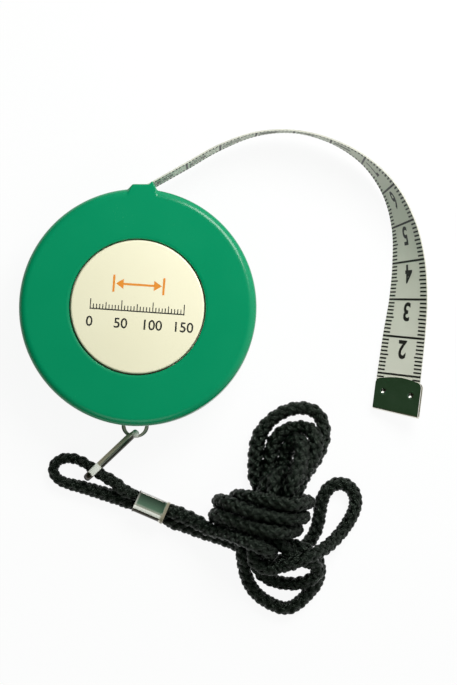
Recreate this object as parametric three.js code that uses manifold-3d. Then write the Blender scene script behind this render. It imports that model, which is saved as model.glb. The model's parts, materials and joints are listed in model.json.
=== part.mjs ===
// Round push-button tape measure on a neck cord, built as the pieces it comes apart into.
// Millimetres. The flat rear face of the case lies on z = 0, centred on the origin.
// +Z points out through the button and +Y to the mouth that the tape leaves by.
import * as THREE from 'three';
import { mergeVertices } from 'three/addons/utils/BufferGeometryUtils.js';
import Module from 'manifold-3d';

const wasm = await Module();
wasm.setup();

// Fits
const fitGap = 0.3;
const tapeSideGap = 0.25;
const slotGap = 0.3;

// Tape
const tapeLength = 1500;
const tapeWidth = 12;
const tapeThickness = 0.35;

// Case shells
const sideWall = 1.6;
const reelClearance = 1.77;
const faceWall = 1.6;
const rearWall = 1.6;
const frontEdgeRadius = 2;
const rearEdgeRadius = 1.5;
const seamHeight = 6;
const tongueHeight = 1.2;
const tongueThickness = 0.6;
const holeChamfer = 0.4;
const bossWall = 1.7;

// Mouth of the case
const exitAngle = THREE.MathUtils.degToRad(29.5);
const nozzleRise = 1.05;
const nozzleFlatStart = -1.3;
const nozzleFlank = 2.2;
const nozzleEdge = 0.4;
const mouthReach = 3.95;
const mouthLip = 0.05;
const lipRun = 0.6;
const slotRun = 8.95;

// Reel
const drumWall = 1.3;
const webThickness = 1;
const flangeThickness = 0.6;
const flangeRim = 1.2;
const lipGap = 0.5;
const spigotWall = 1;
const spigotDepth = 1.2;

// Mainspring, its arbor and cover
const arborWall = 1.1;
const arborStandout = 0.5;
const arborFloor = 3;
const springWidth = 5.6;
const springThickness = 0.3;
const springTurns = 8;
const coverThickness = 0.8;

// Button and brake
const buttonRadius = 17.1;
const buttonProud = 0.4;
const buttonEdgeRadius = 0.5;
const buttonTop = 1.5;
const buttonSkirt = 1.4;
const buttonTravel = 1.6;
const buttonFlange = 1;
const buttonFlangeStep = 2.5;
const brakeRingThickness = 0.6;
const brakeRingWidth = 1.3;
const brakeRingSeat = 0.2;
const stemRadius = 2.2;
const stemReach = 3.4;
const coilWire = 0.6;
const coilTurns = 4;

// End clip of the tape
const clipLength = 10;
const clipOverhang = 0.3;
const clipSheet = 0.45;
const clipArch = 0.7;
const clipCorner = 1.5;
const dimpleRadius = 0.8;
const dimpleDepth = 0.25;
const dimpleFromTip = 5.3;
const dimpleSpacing = 7;

// Bail and hook
const bailCentre = -1.05;
const bailHalfWidth = 3.55;
const bailReach = 3.1;
const bailStrip = 0.6;
const bailBarInset = 0.55;
const bailHeight = 2;
const hookLength = 17.5;
const hookHeading = THREE.MathUtils.degToRad(223.2);
const hookHalfHeight = 3;
const hookWire = 1.3;
const hookBailWidth = 1.3;
const hookShankWidth = 2.4;
const hookEyeWidth = 1.6;
const hookSquareness = 0.6;
const floorGap = 0.2;

// Cord and ferrule
const cordDiameter = 3.3;
const strandGap = 0.62;
const tightestBend = 2.7;
const spanDivisions = 20;
// How the laid cord settles, round by round: the shares are of what a point lacks.
const settling = {
  step: 1.5,
  rounds: 500,
  firstRounds: 0.7,
  lateEase: 0.2,
  home: 0.05,
  height: 0.006,
  sag: 0.004,
  stiffness: 0.035,
  push: 0.35,
  stretch: 0.07,
  pull: 0.5,
  unbend: 0.22,
  bendReach: [4, 6],
};
const ferruleLength = 8.6;
const ferruleWidth = 5.6;
const ferruleHeight = 6;
const ferruleCorner = 1.7;
const ferruleFlare = 0.25;
const ferruleCentre = new THREE.Vector2(3, -51.7);
const ferruleHeading = THREE.MathUtils.degToRad(-23.2);
const strandSpread = 2.5;
const strandLow = 1.85;
const strandHigh = 4.85;

// Heights that follow from the stack of walls, flanges and tape
const reelLow = rearWall + fitGap;
const webHigh = reelLow + webThickness;
const flangeHigh = reelLow + flangeThickness;
const tapeLow = flangeHigh + tapeSideGap;
const tapeHigh = tapeLow + tapeWidth;
const frontFlangeLow = tapeHigh + tapeSideGap;
const frontFlangeHigh = frontFlangeLow + flangeThickness;
const faceInner = frontFlangeHigh + fitGap;
const caseHeight = faceInner + faceWall;
const springLow = webHigh + fitGap;
const coverLow = springLow + springWidth + fitGap;
const coverHigh = coverLow + coverThickness;
const arborHigh = coverHigh + arborStandout;
const brakeRingHigh = frontFlangeLow - fitGap;
const brakeRingLow = brakeRingHigh - brakeRingThickness;
const buttonFlangeHigh = brakeRingLow - brakeRingSeat;
const buttonFlangeLow = buttonFlangeHigh - buttonFlange;
const buttonHigh = caseHeight + buttonProud;
const buttonUnder = buttonHigh - buttonTop;

// Radii that follow from the stem and the button outwards
const arborRadius = stemRadius + fitGap + arborWall;
const coilRadius = (stemRadius + fitGap + arborRadius) / 2;
const socketRadius = arborRadius + fitGap;
const bossRadius = socketRadius + bossWall;
const lipRadius = buttonRadius + lipGap;
const buttonFlangeRadius = buttonRadius + buttonFlangeStep;
const spigotInner = buttonFlangeRadius + fitGap;
const spigotOuter = spigotInner + spigotWall;
const drumInner = spigotOuter + fitGap;
const drumRadius = drumInner + drumWall;
const rollInner = drumRadius + fitGap;

// Free run of the tape from the mouth to its end line, seen from the mouth:
// across, along, height of the lower edge and outward lean of the upper edge in degrees.
const tapeStations = [
  [8.4, 4.75, 2.75, 0],
  [17.3, 9.73, 3.1, -1],
  [27.2, 13.23, 3.7, -4],
  [37.1, 13.73, 3.9, -6],
  [46.9, 11.13, 3.6, -4],
  [55.4, 6.13, 2.4, 2],
  [61.8, -1.17, 1, 13],
  [65.5, -10.17, 0.4, 25],
  [66.9, -19.87, 0.3, 39],
  [66.8, -29.77, 0.4, 50],
  [65.7, -39.57, 0.8, 61],
  [64.4, -49.57, 1.2, 67],
];
const tipRun = 10;

const wallFacets = 72;
const innerFacets = 48;
const smallFacets = 20;

const greenPlastic = new THREE.MeshStandardMaterial({ color: 0x008c5d, roughness: 0.32, metalness: 0 });
const creamPlastic = new THREE.MeshStandardMaterial({ color: 0xf8f5d6, roughness: 0.4, metalness: 0 });
const reelPlastic = new THREE.MeshStandardMaterial({ color: 0xe4e2da, roughness: 0.5, metalness: 0 });
const springSteel = new THREE.MeshStandardMaterial({ color: 0x8d8f92, roughness: 0.3, metalness: 1 });
const nickelPlate = new THREE.MeshStandardMaterial({ color: 0xb9b8ae, roughness: 0.2, metalness: 1 });
const brakeFelt = new THREE.MeshStandardMaterial({ color: 0x4a4a48, roughness: 0.95, metalness: 0 });
const tapeCloth = new THREE.MeshStandardMaterial({ color: 0xb4bba8, roughness: 0.7, metalness: 0 });
const blackCord = new THREE.MeshStandardMaterial({ color: 0x0d0f0d, roughness: 0.9, metalness: 0 });

const model = new THREE.Group();

function addPiece(name, geometry, material) {
  const mesh = new THREE.Mesh(geometry, material);
  mesh.name = name;
  model.add(mesh);
}

// Keeps positions only, joins shared vertices, drops empty triangles and turns the faces outwards.
function closed(geometry) {
  geometry.deleteAttribute('normal');
  geometry.deleteAttribute('uv');
  const merged = mergeVertices(geometry, 1e-4);
  const place = merged.getAttribute('position');
  const index = merged.getIndex().array;
  const corner = [new THREE.Vector3(), new THREE.Vector3(), new THREE.Vector3()];
  const kept = [];
  let volume = 0;
  for (let i = 0; i < index.length; i += 3) {
    const [a, b, c] = [index[i], index[i + 1], index[i + 2]];
    if (a !== b && b !== c && c !== a) {
      kept.push(a, b, c);
      corner[0].fromBufferAttribute(place, a);
      corner[1].fromBufferAttribute(place, b);
      corner[2].fromBufferAttribute(place, c);
      volume += corner[0].dot(corner[1].cross(corner[2]));
    }
  }
  if (volume < 0) kept.reverse();
  merged.setIndex(kept);
  return merged;
}

function toSolid(geometry) {
  const body = closed(geometry);
  const vertProperties = new Float32Array(body.getAttribute('position').array);
  const triVerts = new Uint32Array(body.getIndex().array);
  return new wasm.Manifold(new wasm.Mesh({ numProp: 3, vertProperties, triVerts }));
}

function toGeometry(solid) {
  const mesh = solid.getMesh();
  const geometry = new THREE.BufferGeometry();
  geometry.setAttribute('position', new THREE.BufferAttribute(new Float32Array(mesh.vertProperties), 3));
  geometry.setIndex(Array.from(mesh.triVerts));
  return geometry;
}

// Revolves a profile of [radius, height] pairs about the Z axis.
function revolve(profile, facets) {
  const points = profile.map(([radius, height]) => new THREE.Vector2(radius, height));
  return new THREE.LatheGeometry(points, facets).rotateX(Math.PI / 2);
}

function arc(centreR, centreZ, radius, from, to, steps) {
  const points = [];
  for (let i = 0; i <= steps; i++) {
    const angle = THREE.MathUtils.degToRad(from + ((to - from) * i) / steps);
    points.push([centreR + radius * Math.cos(angle), centreZ + radius * Math.sin(angle)]);
  }
  return points;
}

function ring(inner, outer, low, high, facets) {
  return revolve([[inner, low], [outer, low], [outer, high], [inner, high], [inner, low]], facets);
}

function block(low, high) {
  const size = high.clone().sub(low);
  const centre = high.clone().add(low).multiplyScalar(0.5);
  return new THREE.BoxGeometry(size.x, size.y, size.z).translate(centre.x, centre.y, centre.z);
}

function polygon(points) {
  return new THREE.Shape(points.map(([x, y]) => new THREE.Vector2(x, y)));
}

// Joins a row of like rings of points into a skin, with flat ends or run round into a loop.
function loft(rings, looped) {
  const count = rings[0].length;
  const index = [];
  const last = looped ? rings.length : rings.length - 1;
  for (let i = 0; i < last; i++) {
    const here = i * count;
    const next = ((i + 1) % rings.length) * count;
    for (let j = 0; j < count; j++) {
      const k = (j + 1) % count;
      index.push(here + j, next + j, next + k, here + j, next + k, here + k);
    }
  }
  if (!looped) {
    const end = (rings.length - 1) * count;
    for (let j = 1; j < count - 1; j++) {
      index.push(0, j, j + 1, end, end + j + 1, end + j);
    }
  }
  const geometry = new THREE.BufferGeometry().setFromPoints(rings.flat());
  geometry.setIndex(index);
  return closed(geometry);
}

function tube(path, radius, sides, steps) {
  const section = [];
  for (let i = 0; i < sides; i++) {
    const angle = (2 * Math.PI * i) / sides;
    section.push([radius * Math.cos(angle), radius * Math.sin(angle)]);
  }
  return closed(new THREE.ExtrudeGeometry(polygon(section), { steps, extrudePath: path }));
}

// Where the tape runs: straight from the roll to the mouth, tangent to the roll.
const freePath = new THREE.CatmullRomCurve3(
  [[0, 0], ...tapeStations].map(([x, y]) => new THREE.Vector3(x, y, 0)),
  false,
  'centripetal',
);
const exposedLength = freePath.getLength() + tipRun;
const woundLength = tapeLength - exposedLength;
const rollRadius = Math.sqrt(rollInner ** 2 + (woundLength * tapeThickness) / Math.PI);
const flangeRadius = rollRadius + flangeRim;
const caseInner = flangeRadius + reelClearance;
const caseRadius = caseInner + sideWall;
const tongueOuter = caseInner + tongueThickness;
const exitOffset = rollRadius + fitGap + tapeThickness / 2;
const mouthDistance = Math.sqrt(caseRadius ** 2 - exitOffset ** 2) + mouthReach;

// A point of the exit line: distance along it from the roll and offset from the case axis.
function onExit(along, offset) {
  return new THREE.Vector2(
    along * Math.cos(exitAngle) - offset * Math.sin(exitAngle),
    along * Math.sin(exitAngle) + offset * Math.cos(exitAngle),
  );
}
const mouth = onExit(mouthDistance, exitOffset);

function nozzleSolid(low, high) {
  const top = caseRadius + nozzleRise;
  const tip = onExit(mouthDistance, exitOffset + mouthLip);
  const heel = onExit(mouthDistance, exitOffset - mouthReach);
  const inset = caseRadius - 2 * sideWall;
  const outline = polygon([
    [nozzleFlatStart - nozzleFlank, inset],
    [nozzleFlatStart - nozzleFlank, caseRadius - 0.5 * sideWall],
    [nozzleFlatStart, top],
    [tip.x - lipRun, top],
    [tip.x, tip.y],
    [heel.x, heel.y],
  ]);
  const body = new THREE.ExtrudeGeometry(outline, {
    depth: caseHeight - 2 * nozzleEdge,
    bevelThickness: nozzleEdge,
    bevelSize: nozzleEdge,
    bevelOffset: -nozzleEdge,
    bevelSegments: 2,
  }).translate(0, 0, nozzleEdge);
  const cavity = ring(0, caseRadius - sideWall / 2, -1, caseHeight + 1, wallFacets);
  const reach = 2 * caseRadius;
  const keep = block(new THREE.Vector3(-reach, 0, low), new THREE.Vector3(reach, reach, high));
  return toSolid(body).subtract(toSolid(cavity)).intersect(toSolid(keep));
}

function slotSolid() {
  const start = mouthDistance - slotRun;
  const end = mouthDistance + mouthReach;
  const width = tapeThickness + 2 * slotGap;
  const middle = onExit((start + end) / 2, exitOffset);
  const slot = new THREE.BoxGeometry(end - start, width, tapeWidth + 2 * slotGap);
  slot.rotateZ(exitAngle).translate(middle.x, middle.y, (tapeLow + tapeHigh) / 2);
  return toSolid(slot);
}

// Clear space round the two legs of the bail where they pass through the wall.
function bailSlots() {
  const low = seamHeight - bailHeight / 2 - fitGap;
  const high = seamHeight + bailHeight / 2 + fitGap;
  const slots = [-1, 1].map((side) => {
    const middle = bailCentre + side * (bailHalfWidth - bailStrip / 2);
    const half = bailStrip / 2 + fitGap;
    const near = -(caseInner - 2 * sideWall);
    const far = -(caseRadius + sideWall);
    return toSolid(block(
      new THREE.Vector3(middle - half, far, low),
      new THREE.Vector3(middle + half, near, high),
    ));
  });
  return slots[0].add(slots[1]);
}

function frontShell() {
  const hole = buttonRadius + fitGap;
  const low = seamHeight + fitGap;
  const rebate = tongueOuter + fitGap;
  const rebateHigh = seamHeight + tongueHeight + fitGap;
  const edge = frontEdgeRadius;
  const shell = revolve([
    [hole, faceInner],
    [hole, caseHeight - holeChamfer],
    [hole + holeChamfer, caseHeight],
    ...arc(caseRadius - edge, caseHeight - edge, edge, 90, 0, 5),
    [caseRadius, low],
    [rebate, low],
    [rebate, rebateHigh],
    [caseInner, rebateHigh],
    [caseInner, faceInner],
    [hole, faceInner],
  ], wallFacets);
  return toSolid(shell).add(nozzleSolid(low, caseHeight + 1)).subtract(slotSolid()).subtract(bailSlots());
}

function rearShell() {
  const edge = rearEdgeRadius;
  const bossHigh = webHigh;
  const shell = revolve([
    [0, 0],
    ...arc(caseRadius - edge, edge, edge, -90, 0, 4),
    [caseRadius, seamHeight],
    [tongueOuter, seamHeight],
    [tongueOuter, seamHeight + tongueHeight],
    [caseInner, seamHeight + tongueHeight],
    [caseInner, rearWall],
    [bossRadius, rearWall],
    [bossRadius, bossHigh],
    [socketRadius, bossHigh],
    [socketRadius, rearWall],
    [0, rearWall],
  ], wallFacets);
  return toSolid(shell).add(nozzleSolid(-1, seamHeight)).subtract(slotSolid()).subtract(bailSlots());
}

addPiece('front_shell', toGeometry(frontShell()), greenPlastic);
addPiece('rear_shell', toGeometry(rearShell()), greenPlastic);

// Reel: drum with its rear flange, snap-in front flange, spring cover and the wound tape.
addPiece('reel_drum', closed(revolve([
  [bossRadius + fitGap, reelLow],
  [flangeRadius, reelLow],
  [flangeRadius, flangeHigh],
  [drumRadius, flangeHigh],
  [drumRadius, tapeHigh],
  [drumInner, tapeHigh],
  [drumInner, webHigh],
  [bossRadius + fitGap, webHigh],
  [bossRadius + fitGap, reelLow],
], wallFacets)), reelPlastic);

addPiece('reel_front_flange', closed(revolve([
  [lipRadius, frontFlangeLow],
  [spigotInner, frontFlangeLow],
  [spigotInner, frontFlangeLow - spigotDepth],
  [spigotOuter, frontFlangeLow - spigotDepth],
  [spigotOuter, frontFlangeLow],
  [flangeRadius, frontFlangeLow],
  [flangeRadius, frontFlangeHigh],
  [lipRadius, frontFlangeHigh],
  [lipRadius, frontFlangeLow],
], wallFacets)), reelPlastic);

addPiece('spring_cover', closed(
  ring(arborRadius + 2 * fitGap, drumInner - fitGap, coverLow, coverHigh, innerFacets),
), reelPlastic);

addPiece('wound_tape', closed(ring(rollInner, rollRadius, tapeLow, tapeHigh, wallFacets)), tapeCloth);

// Mainspring: a flat strip wound from the arbor out to the wall of the drum.
function mainspring() {
  const stepsPerTurn = 20;
  const steps = springTurns * stepsPerTurn;
  const start = arborRadius + fitGap + springThickness;
  const end = drumInner - fitGap - springThickness;
  const half = springThickness / 2;
  const rings = [];
  for (let i = 0; i <= steps; i++) {
    const angle = (2 * Math.PI * i) / stepsPerTurn;
    const radius = start + ((end - start) * i) / steps;
    const corners = [[-half, 0], [half, 0], [half, springWidth], [-half, springWidth]];
    rings.push(corners.map(([out, up]) => new THREE.Vector3(
      (radius + out) * Math.cos(angle),
      (radius + out) * Math.sin(angle),
      springLow + up,
    )));
  }
  return loft(rings, false);
}
addPiece('mainspring', mainspring(), springSteel);

// Arbor: post that the mainspring pulls on, with a six-sided bore that guides the button's stem.
const stemLow = arborHigh - stemReach;
function sixSided(radius, low, high) {
  const prism = new THREE.CylinderGeometry(radius, radius, high - low, 6);
  return toSolid(prism.rotateX(Math.PI / 2).translate(0, 0, (low + high) / 2));
}
function arbor() {
  const foot = rearWall + fitGap;
  const boreLow = Math.max(stemLow - buttonTravel - fitGap, arborFloor);
  const post = ring(0, arborRadius, foot, arborHigh, smallFacets);
  return toSolid(post).subtract(sixSided(stemRadius + fitGap, boreLow, arborHigh + 1));
}
addPiece('spring_arbor', toGeometry(arbor()), reelPlastic);

// Button: a cup whose foot flange carries the brake ring, with a stem that slides in the arbor.
function buttonCap() {
  const edge = buttonEdgeRadius;
  const inner = buttonRadius - buttonSkirt;
  const cup = revolve([
    [0, buttonUnder],
    [inner, buttonUnder],
    [inner, buttonFlangeLow],
    [buttonFlangeRadius, buttonFlangeLow],
    [buttonFlangeRadius, buttonFlangeHigh],
    [buttonRadius, buttonFlangeHigh],
    ...arc(buttonRadius - edge, buttonHigh - edge, edge, 0, 90, 3),
    [0, buttonHigh],
  ], innerFacets);
  return toSolid(cup).add(sixSided(stemRadius, stemLow, buttonUnder + buttonTop / 2));
}
addPiece('button_cap', toGeometry(buttonCap()), creamPlastic);

addPiece('brake_ring', closed(ring(
  buttonFlangeRadius - brakeRingWidth,
  buttonFlangeRadius,
  brakeRingLow,
  brakeRingHigh,
  innerFacets,
)), brakeFelt);

class Helix extends THREE.Curve {
  getPoint(t) {
    const angle = 2 * Math.PI * coilTurns * t;
    const low = arborHigh + fitGap + coilWire / 2;
    const high = buttonUnder - fitGap - coilWire / 2;
    return new THREE.Vector3(
      coilRadius * Math.cos(angle),
      coilRadius * Math.sin(angle),
      low + (high - low) * t,
    );
  }
}
addPiece('button_spring', tube(new Helix(), coilWire / 2, 5, coilTurns * 12), springSteel);

// Tape blade: a thin strip lofted along the exit line and the free run, leaning as it goes.
function tapeFrame(place, tangent, lean) {
  const out = new THREE.Vector3(-tangent.y, tangent.x, 0).normalize();
  const across = new THREE.Vector3(0, 0, Math.cos(lean)).addScaledVector(out, Math.sin(lean));
  const along = tangent.clone().normalize();
  const face = new THREE.Vector3().crossVectors(along, across);
  return { place, along, across, face };
}

function tapeFrames() {
  const frames = [];
  const exit = onExit(1, 0);
  const straight = new THREE.Vector3(exit.x, exit.y, 0);
  const middle = (tapeLow + tapeHigh) / 2;
  for (const along of [0.5, mouthDistance / 2, mouthDistance - 1]) {
    const spot = onExit(along, exitOffset);
    frames.push(tapeFrame(new THREE.Vector3(spot.x, spot.y, middle), straight, 0));
  }
  const rise = [[tapeLow, 0], ...tapeStations.map(([, , low, lean]) => [low, lean])];
  const leanPath = new THREE.CatmullRomCurve3(rise.map(([low, lean]) => new THREE.Vector3(low, lean, 0)));
  const spans = tapeStations.length;
  const stepsPerSpan = 4;
  for (let i = 0; i <= spans * stepsPerSpan; i++) {
    const t = i / (spans * stepsPerSpan);
    const spot = freePath.getPoint(t);
    const [low, lean] = leanPath.getPoint(t).toArray();
    const angle = THREE.MathUtils.degToRad(lean);
    const height = low + (tapeWidth / 2) * Math.cos(angle);
    const place = new THREE.Vector3(mouth.x + spot.x, mouth.y + spot.y, height);
    frames.push(tapeFrame(place, freePath.getTangent(t), angle));
  }
  const last = frames.at(-1);
  frames.push({ ...last, place: last.place.clone().addScaledVector(last.along, tipRun) });
  return frames;
}
const bladeFrames = tapeFrames();
const tip = bladeFrames.at(-1);

function tapeBlade() {
  const corners = [[-1, -1], [1, -1], [1, 1], [-1, 1]];
  return loft(bladeFrames.map(({ place, across, face }) => corners.map(([side, front]) => place.clone()
    .addScaledVector(across, (side * tapeWidth) / 2)
    .addScaledVector(face, (front * tapeThickness) / 2))), false);
}
addPiece('tape_blade', tapeBlade(), tapeCloth);

// End clip: a sheet folded over the tape's end, arched at its open edge and staked by two dimples.
function tapeClip() {
  const half = tapeWidth / 2 + clipOverhang;
  const pocket = tapeThickness + 2 * fitGap;
  const thick = pocket + 2 * clipSheet;
  const shoulder = clipLength - clipArch - clipCorner;
  const outline = new THREE.Shape();
  outline.moveTo(-half, 0);
  outline.lineTo(half, 0);
  outline.lineTo(half, shoulder);
  outline.quadraticCurveTo(half, clipLength - clipArch, half - clipCorner, clipLength - clipArch);
  outline.quadraticCurveTo(0, clipLength + clipArch, clipCorner - half, clipLength - clipArch);
  outline.quadraticCurveTo(-half, clipLength - clipArch, -half, shoulder);
  const plate = new THREE.ExtrudeGeometry(outline, { depth: thick, bevelEnabled: false, curveSegments: 4 });
  const slot = block(
    new THREE.Vector3(-2 * half, clipSheet, clipSheet),
    new THREE.Vector3(2 * half, 2 * clipLength, clipSheet + pocket),
  );
  let clip = toSolid(plate).subtract(toSolid(slot));
  for (const side of [-1, 1]) {
    const dimple = new THREE.SphereGeometry(dimpleRadius, 10, 6);
    dimple.translate((side * dimpleSpacing) / 2, dimpleFromTip, thick + dimpleRadius - dimpleDepth);
    clip = clip.subtract(toSolid(dimple));
  }
  const geometry = toGeometry(clip).translate(0, -clipSheet - fitGap, -thick / 2);
  const back = tip.along.clone().negate();
  const front = new THREE.Vector3().crossVectors(tip.across, back);
  geometry.applyMatrix4(new THREE.Matrix4().makeBasis(tip.across, back, front).setPosition(tip.place));
  return closed(geometry);
}
addPiece('tape_end_clip', tapeClip(), nickelPlate);

// Bail: a flat D-shaped ring held in the seam of the case.
function bail() {
  const bulge = caseRadius + bailReach;
  const barOuter = caseInner - bailBarInset;
  const half = (grow) => bailHalfWidth - grow;
  const outline = (grow) => {
    const points = [];
    const curve = arc(0, 0, 1, 180, 360, 16);
    for (const [x, y] of curve) {
      const reach = bulge - caseRadius - grow;
      points.push([bailCentre + half(grow) * x, -caseRadius + reach * y]);
    }
    const bar = barOuter - bailStrip + grow;
    points.push([bailCentre + half(grow), -bar], [bailCentre - half(grow), -bar]);
    return points;
  };
  const shape = polygon(outline(0));
  shape.holes.push(new THREE.Path(outline(bailStrip).map(([x, y]) => new THREE.Vector2(x, y))));
  const strip = new THREE.ExtrudeGeometry(shape, { depth: bailHeight, bevelEnabled: false });
  return closed(strip.translate(0, 0, seamHeight - bailHeight / 2));
}
addPiece('lanyard_bail', bail(), nickelPlate);

// Hook: a closed wire link on edge, through the bail at one end and round the cord at the other.
const hookReach = caseRadius + bailReach - bailStrip - fitGap - hookWire / 2;
const hookPivot = new THREE.Vector2(bailCentre, -hookReach);
const hookLow = floorGap + hookHalfHeight + hookWire / 2;
const hookAlong = new THREE.Vector2(Math.cos(hookHeading), Math.sin(hookHeading));
const eyePivot = hookPivot.clone().addScaledVector(hookAlong, hookLength);

function hookWidth(share) {
  if (share < 0.25) return THREE.MathUtils.lerp(hookBailWidth, hookShankWidth, share / 0.25);
  return THREE.MathUtils.lerp(hookShankWidth, hookEyeWidth, (share - 0.25) / 0.75);
}

function snapHook() {
  const stations = 40;
  const sides = 8;
  const powered = (value) => Math.sign(value) * Math.abs(value) ** hookSquareness;
  const centreline = (angle) => {
    const share = (1 - powered(Math.cos(angle))) / 2;
    const height = THREE.MathUtils.lerp(seamHeight, hookLow, share);
    return { share, reach: share * hookLength, height: height + hookHalfHeight * powered(Math.sin(angle)) };
  };
  const rings = [];
  for (let i = 0; i < stations; i++) {
    const angle = (2 * Math.PI * (i + 0.5)) / stations;
    const here = centreline(angle);
    const before = centreline(angle - 0.05);
    const after = centreline(angle + 0.05);
    const turn = new THREE.Vector2(after.reach - before.reach, after.height - before.height).normalize();
    const section = [];
    for (let j = 0; j < sides; j++) {
      const round = (2 * Math.PI * j) / sides;
      const outward = (Math.cos(round) * hookWire) / 2;
      const sideways = (Math.sin(round) * hookWidth(here.share)) / 2;
      const reach = here.reach - outward * turn.y;
      const height = here.height + outward * turn.x;
      section.push(new THREE.Vector3(
        hookPivot.x + hookAlong.x * reach - hookAlong.y * sideways,
        hookPivot.y + hookAlong.y * reach + hookAlong.x * sideways,
        height,
      ));
    }
    rings.push(section);
  }
  return loft(rings, true);
}
addPiece('snap_hook', snapHook(), nickelPlate);

// Ferrule: a crimped sleeve, flared at both ends, that closes the cord's small loop.
const ferruleAlong = new THREE.Vector3(Math.cos(ferruleHeading), Math.sin(ferruleHeading), 0);
const ferruleAcross = new THREE.Vector3(-ferruleAlong.y, ferruleAlong.x, 0);

function ferrule() {
  const section = (grow) => {
    const points = [];
    for (const [signX, signY, from] of [[1, 1, 0], [-1, 1, 90], [-1, -1, 180], [1, -1, 270]]) {
      const centreX = signX * (ferruleWidth / 2 - ferruleCorner);
      const centreY = signY * (ferruleHeight / 2 - ferruleCorner);
      points.push(...arc(centreX, centreY, ferruleCorner + grow, from, from + 90, 3));
    }
    return points;
  };
  const middle = floorGap + ferruleFlare + ferruleHeight / 2;
  const stops = [[-0.5, ferruleFlare], [-0.36, 0], [0.36, 0], [0.5, ferruleFlare]];
  return loft(stops.map(([share, grow]) => section(grow).map(([across, up]) => new THREE.Vector3(
    ferruleCentre.x,
    ferruleCentre.y,
    middle + up,
  ).addScaledVector(ferruleAlong, share * ferruleLength).addScaledVector(ferruleAcross, across))), false);
}
addPiece('cord_ferrule', ferrule(), nickelPlate);

// A strand's place just off a face of the ferrule: end -1 or 1, side -1 (low) or 1 (high).
function ferruleStrand(end, side, further) {
  const height = side > 0 ? strandHigh : strandLow;
  return new THREE.Vector3(ferruleCentre.x, ferruleCentre.y, height)
    .addScaledVector(ferruleAlong, end * (ferruleLength / 2 + fitGap + further))
    .addScaledVector(ferruleAcross, (side * strandSpread) / 2);
}

const points = (rows) => rows.map(([x, y, z]) => new THREE.Vector3(x, y, z));

// Small loop: from the ferrule through the hook's eye and back.
const smallLoop = new THREE.CatmullRomCurve3([
  ferruleStrand(-1, 1, 0),
  ferruleStrand(-1, 1, cordDiameter),
  ...points([
    [-6.6, -45.2, 4.5],
    [-10, -43.2, 4.3],
    [-12, -41.8, 4.2],
    [-14.6, -40.1, 3.4],
    [-17.4, -39.1, 2],
    [-20.2, -39.1, 1.85],
    [-22.2, -40.3, 1.85],
    [-22.8, -42.4, 1.85],
    [-21.4, -44.5, 1.85],
    [-19, -45.6, 1.85],
    [-15.4, -46.5, 1.85],
    [-11.6, -47.6, 1.85],
    [-8, -48.7, 1.85],
  ]),
  ferruleStrand(-1, -1, cordDiameter),
  ferruleStrand(-1, -1, 0),
], false, 'centripetal');

// Neck loop: from the ferrule over and round the waist of the hank, through its lobes, out and back.
// The hank was tied by hand, so each list follows how its strands were laid.
const leadIn = [
  ferruleStrand(1, 1, 0),
  ferruleStrand(1, 1, cordDiameter),
  ...points([
    [12.5, -54.4, 5.1], [15.9, -55.9, 5.3], [19, -57.3, 6.8],
  ]),
];
const waistWraps = points([
  [22.1, -58.1, 9.6], [26.3, -59.5, 12], [30.9, -61, 12.4], [33.7, -61.9, 11], [35.1, -62.5, 6.5],
  [33.7, -61.7, 2.2], [30, -59.7, 1.9], [24.2, -56.5, 1.9], [20.8, -54.9, 2.6], [20, -53.6, 7],
  [21.6, -53.4, 11.4], [26.3, -55.1, 13.4], [31.9, -57.1, 13.5], [37, -57.6, 12.8], [40.1, -57.5, 7.5],
  [38.9, -56.8, 2.2], [32.1, -55.2, 1.9], [24.7, -52.8, 1.9], [21.6, -51.5, 2.8], [20.8, -50.5, 7],
  [22.7, -50.3, 11.4], [26.8, -51.8, 13.5], [31.9, -53.3, 13.5], [37.5, -53.9, 13.4], [41.5, -53.9, 11],
  [43, -53.4, 6], [40.8, -52.6, 1.9], [32.1, -51.3, 1.9], [27.4, -49.9, 2.4], [25.3, -49, 6.4],
  [26.5, -48.5, 11], [30.9, -49.3, 13.5], [36.5, -50.3, 13.5], [41, -50.7, 11.4], [43, -50.5, 6.4],
  [41, -49.7, 2], [35.8, -48.4, 1.9], [32.1, -46.8, 1.9], [30.7, -44.4, 1.9],
]);
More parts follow.
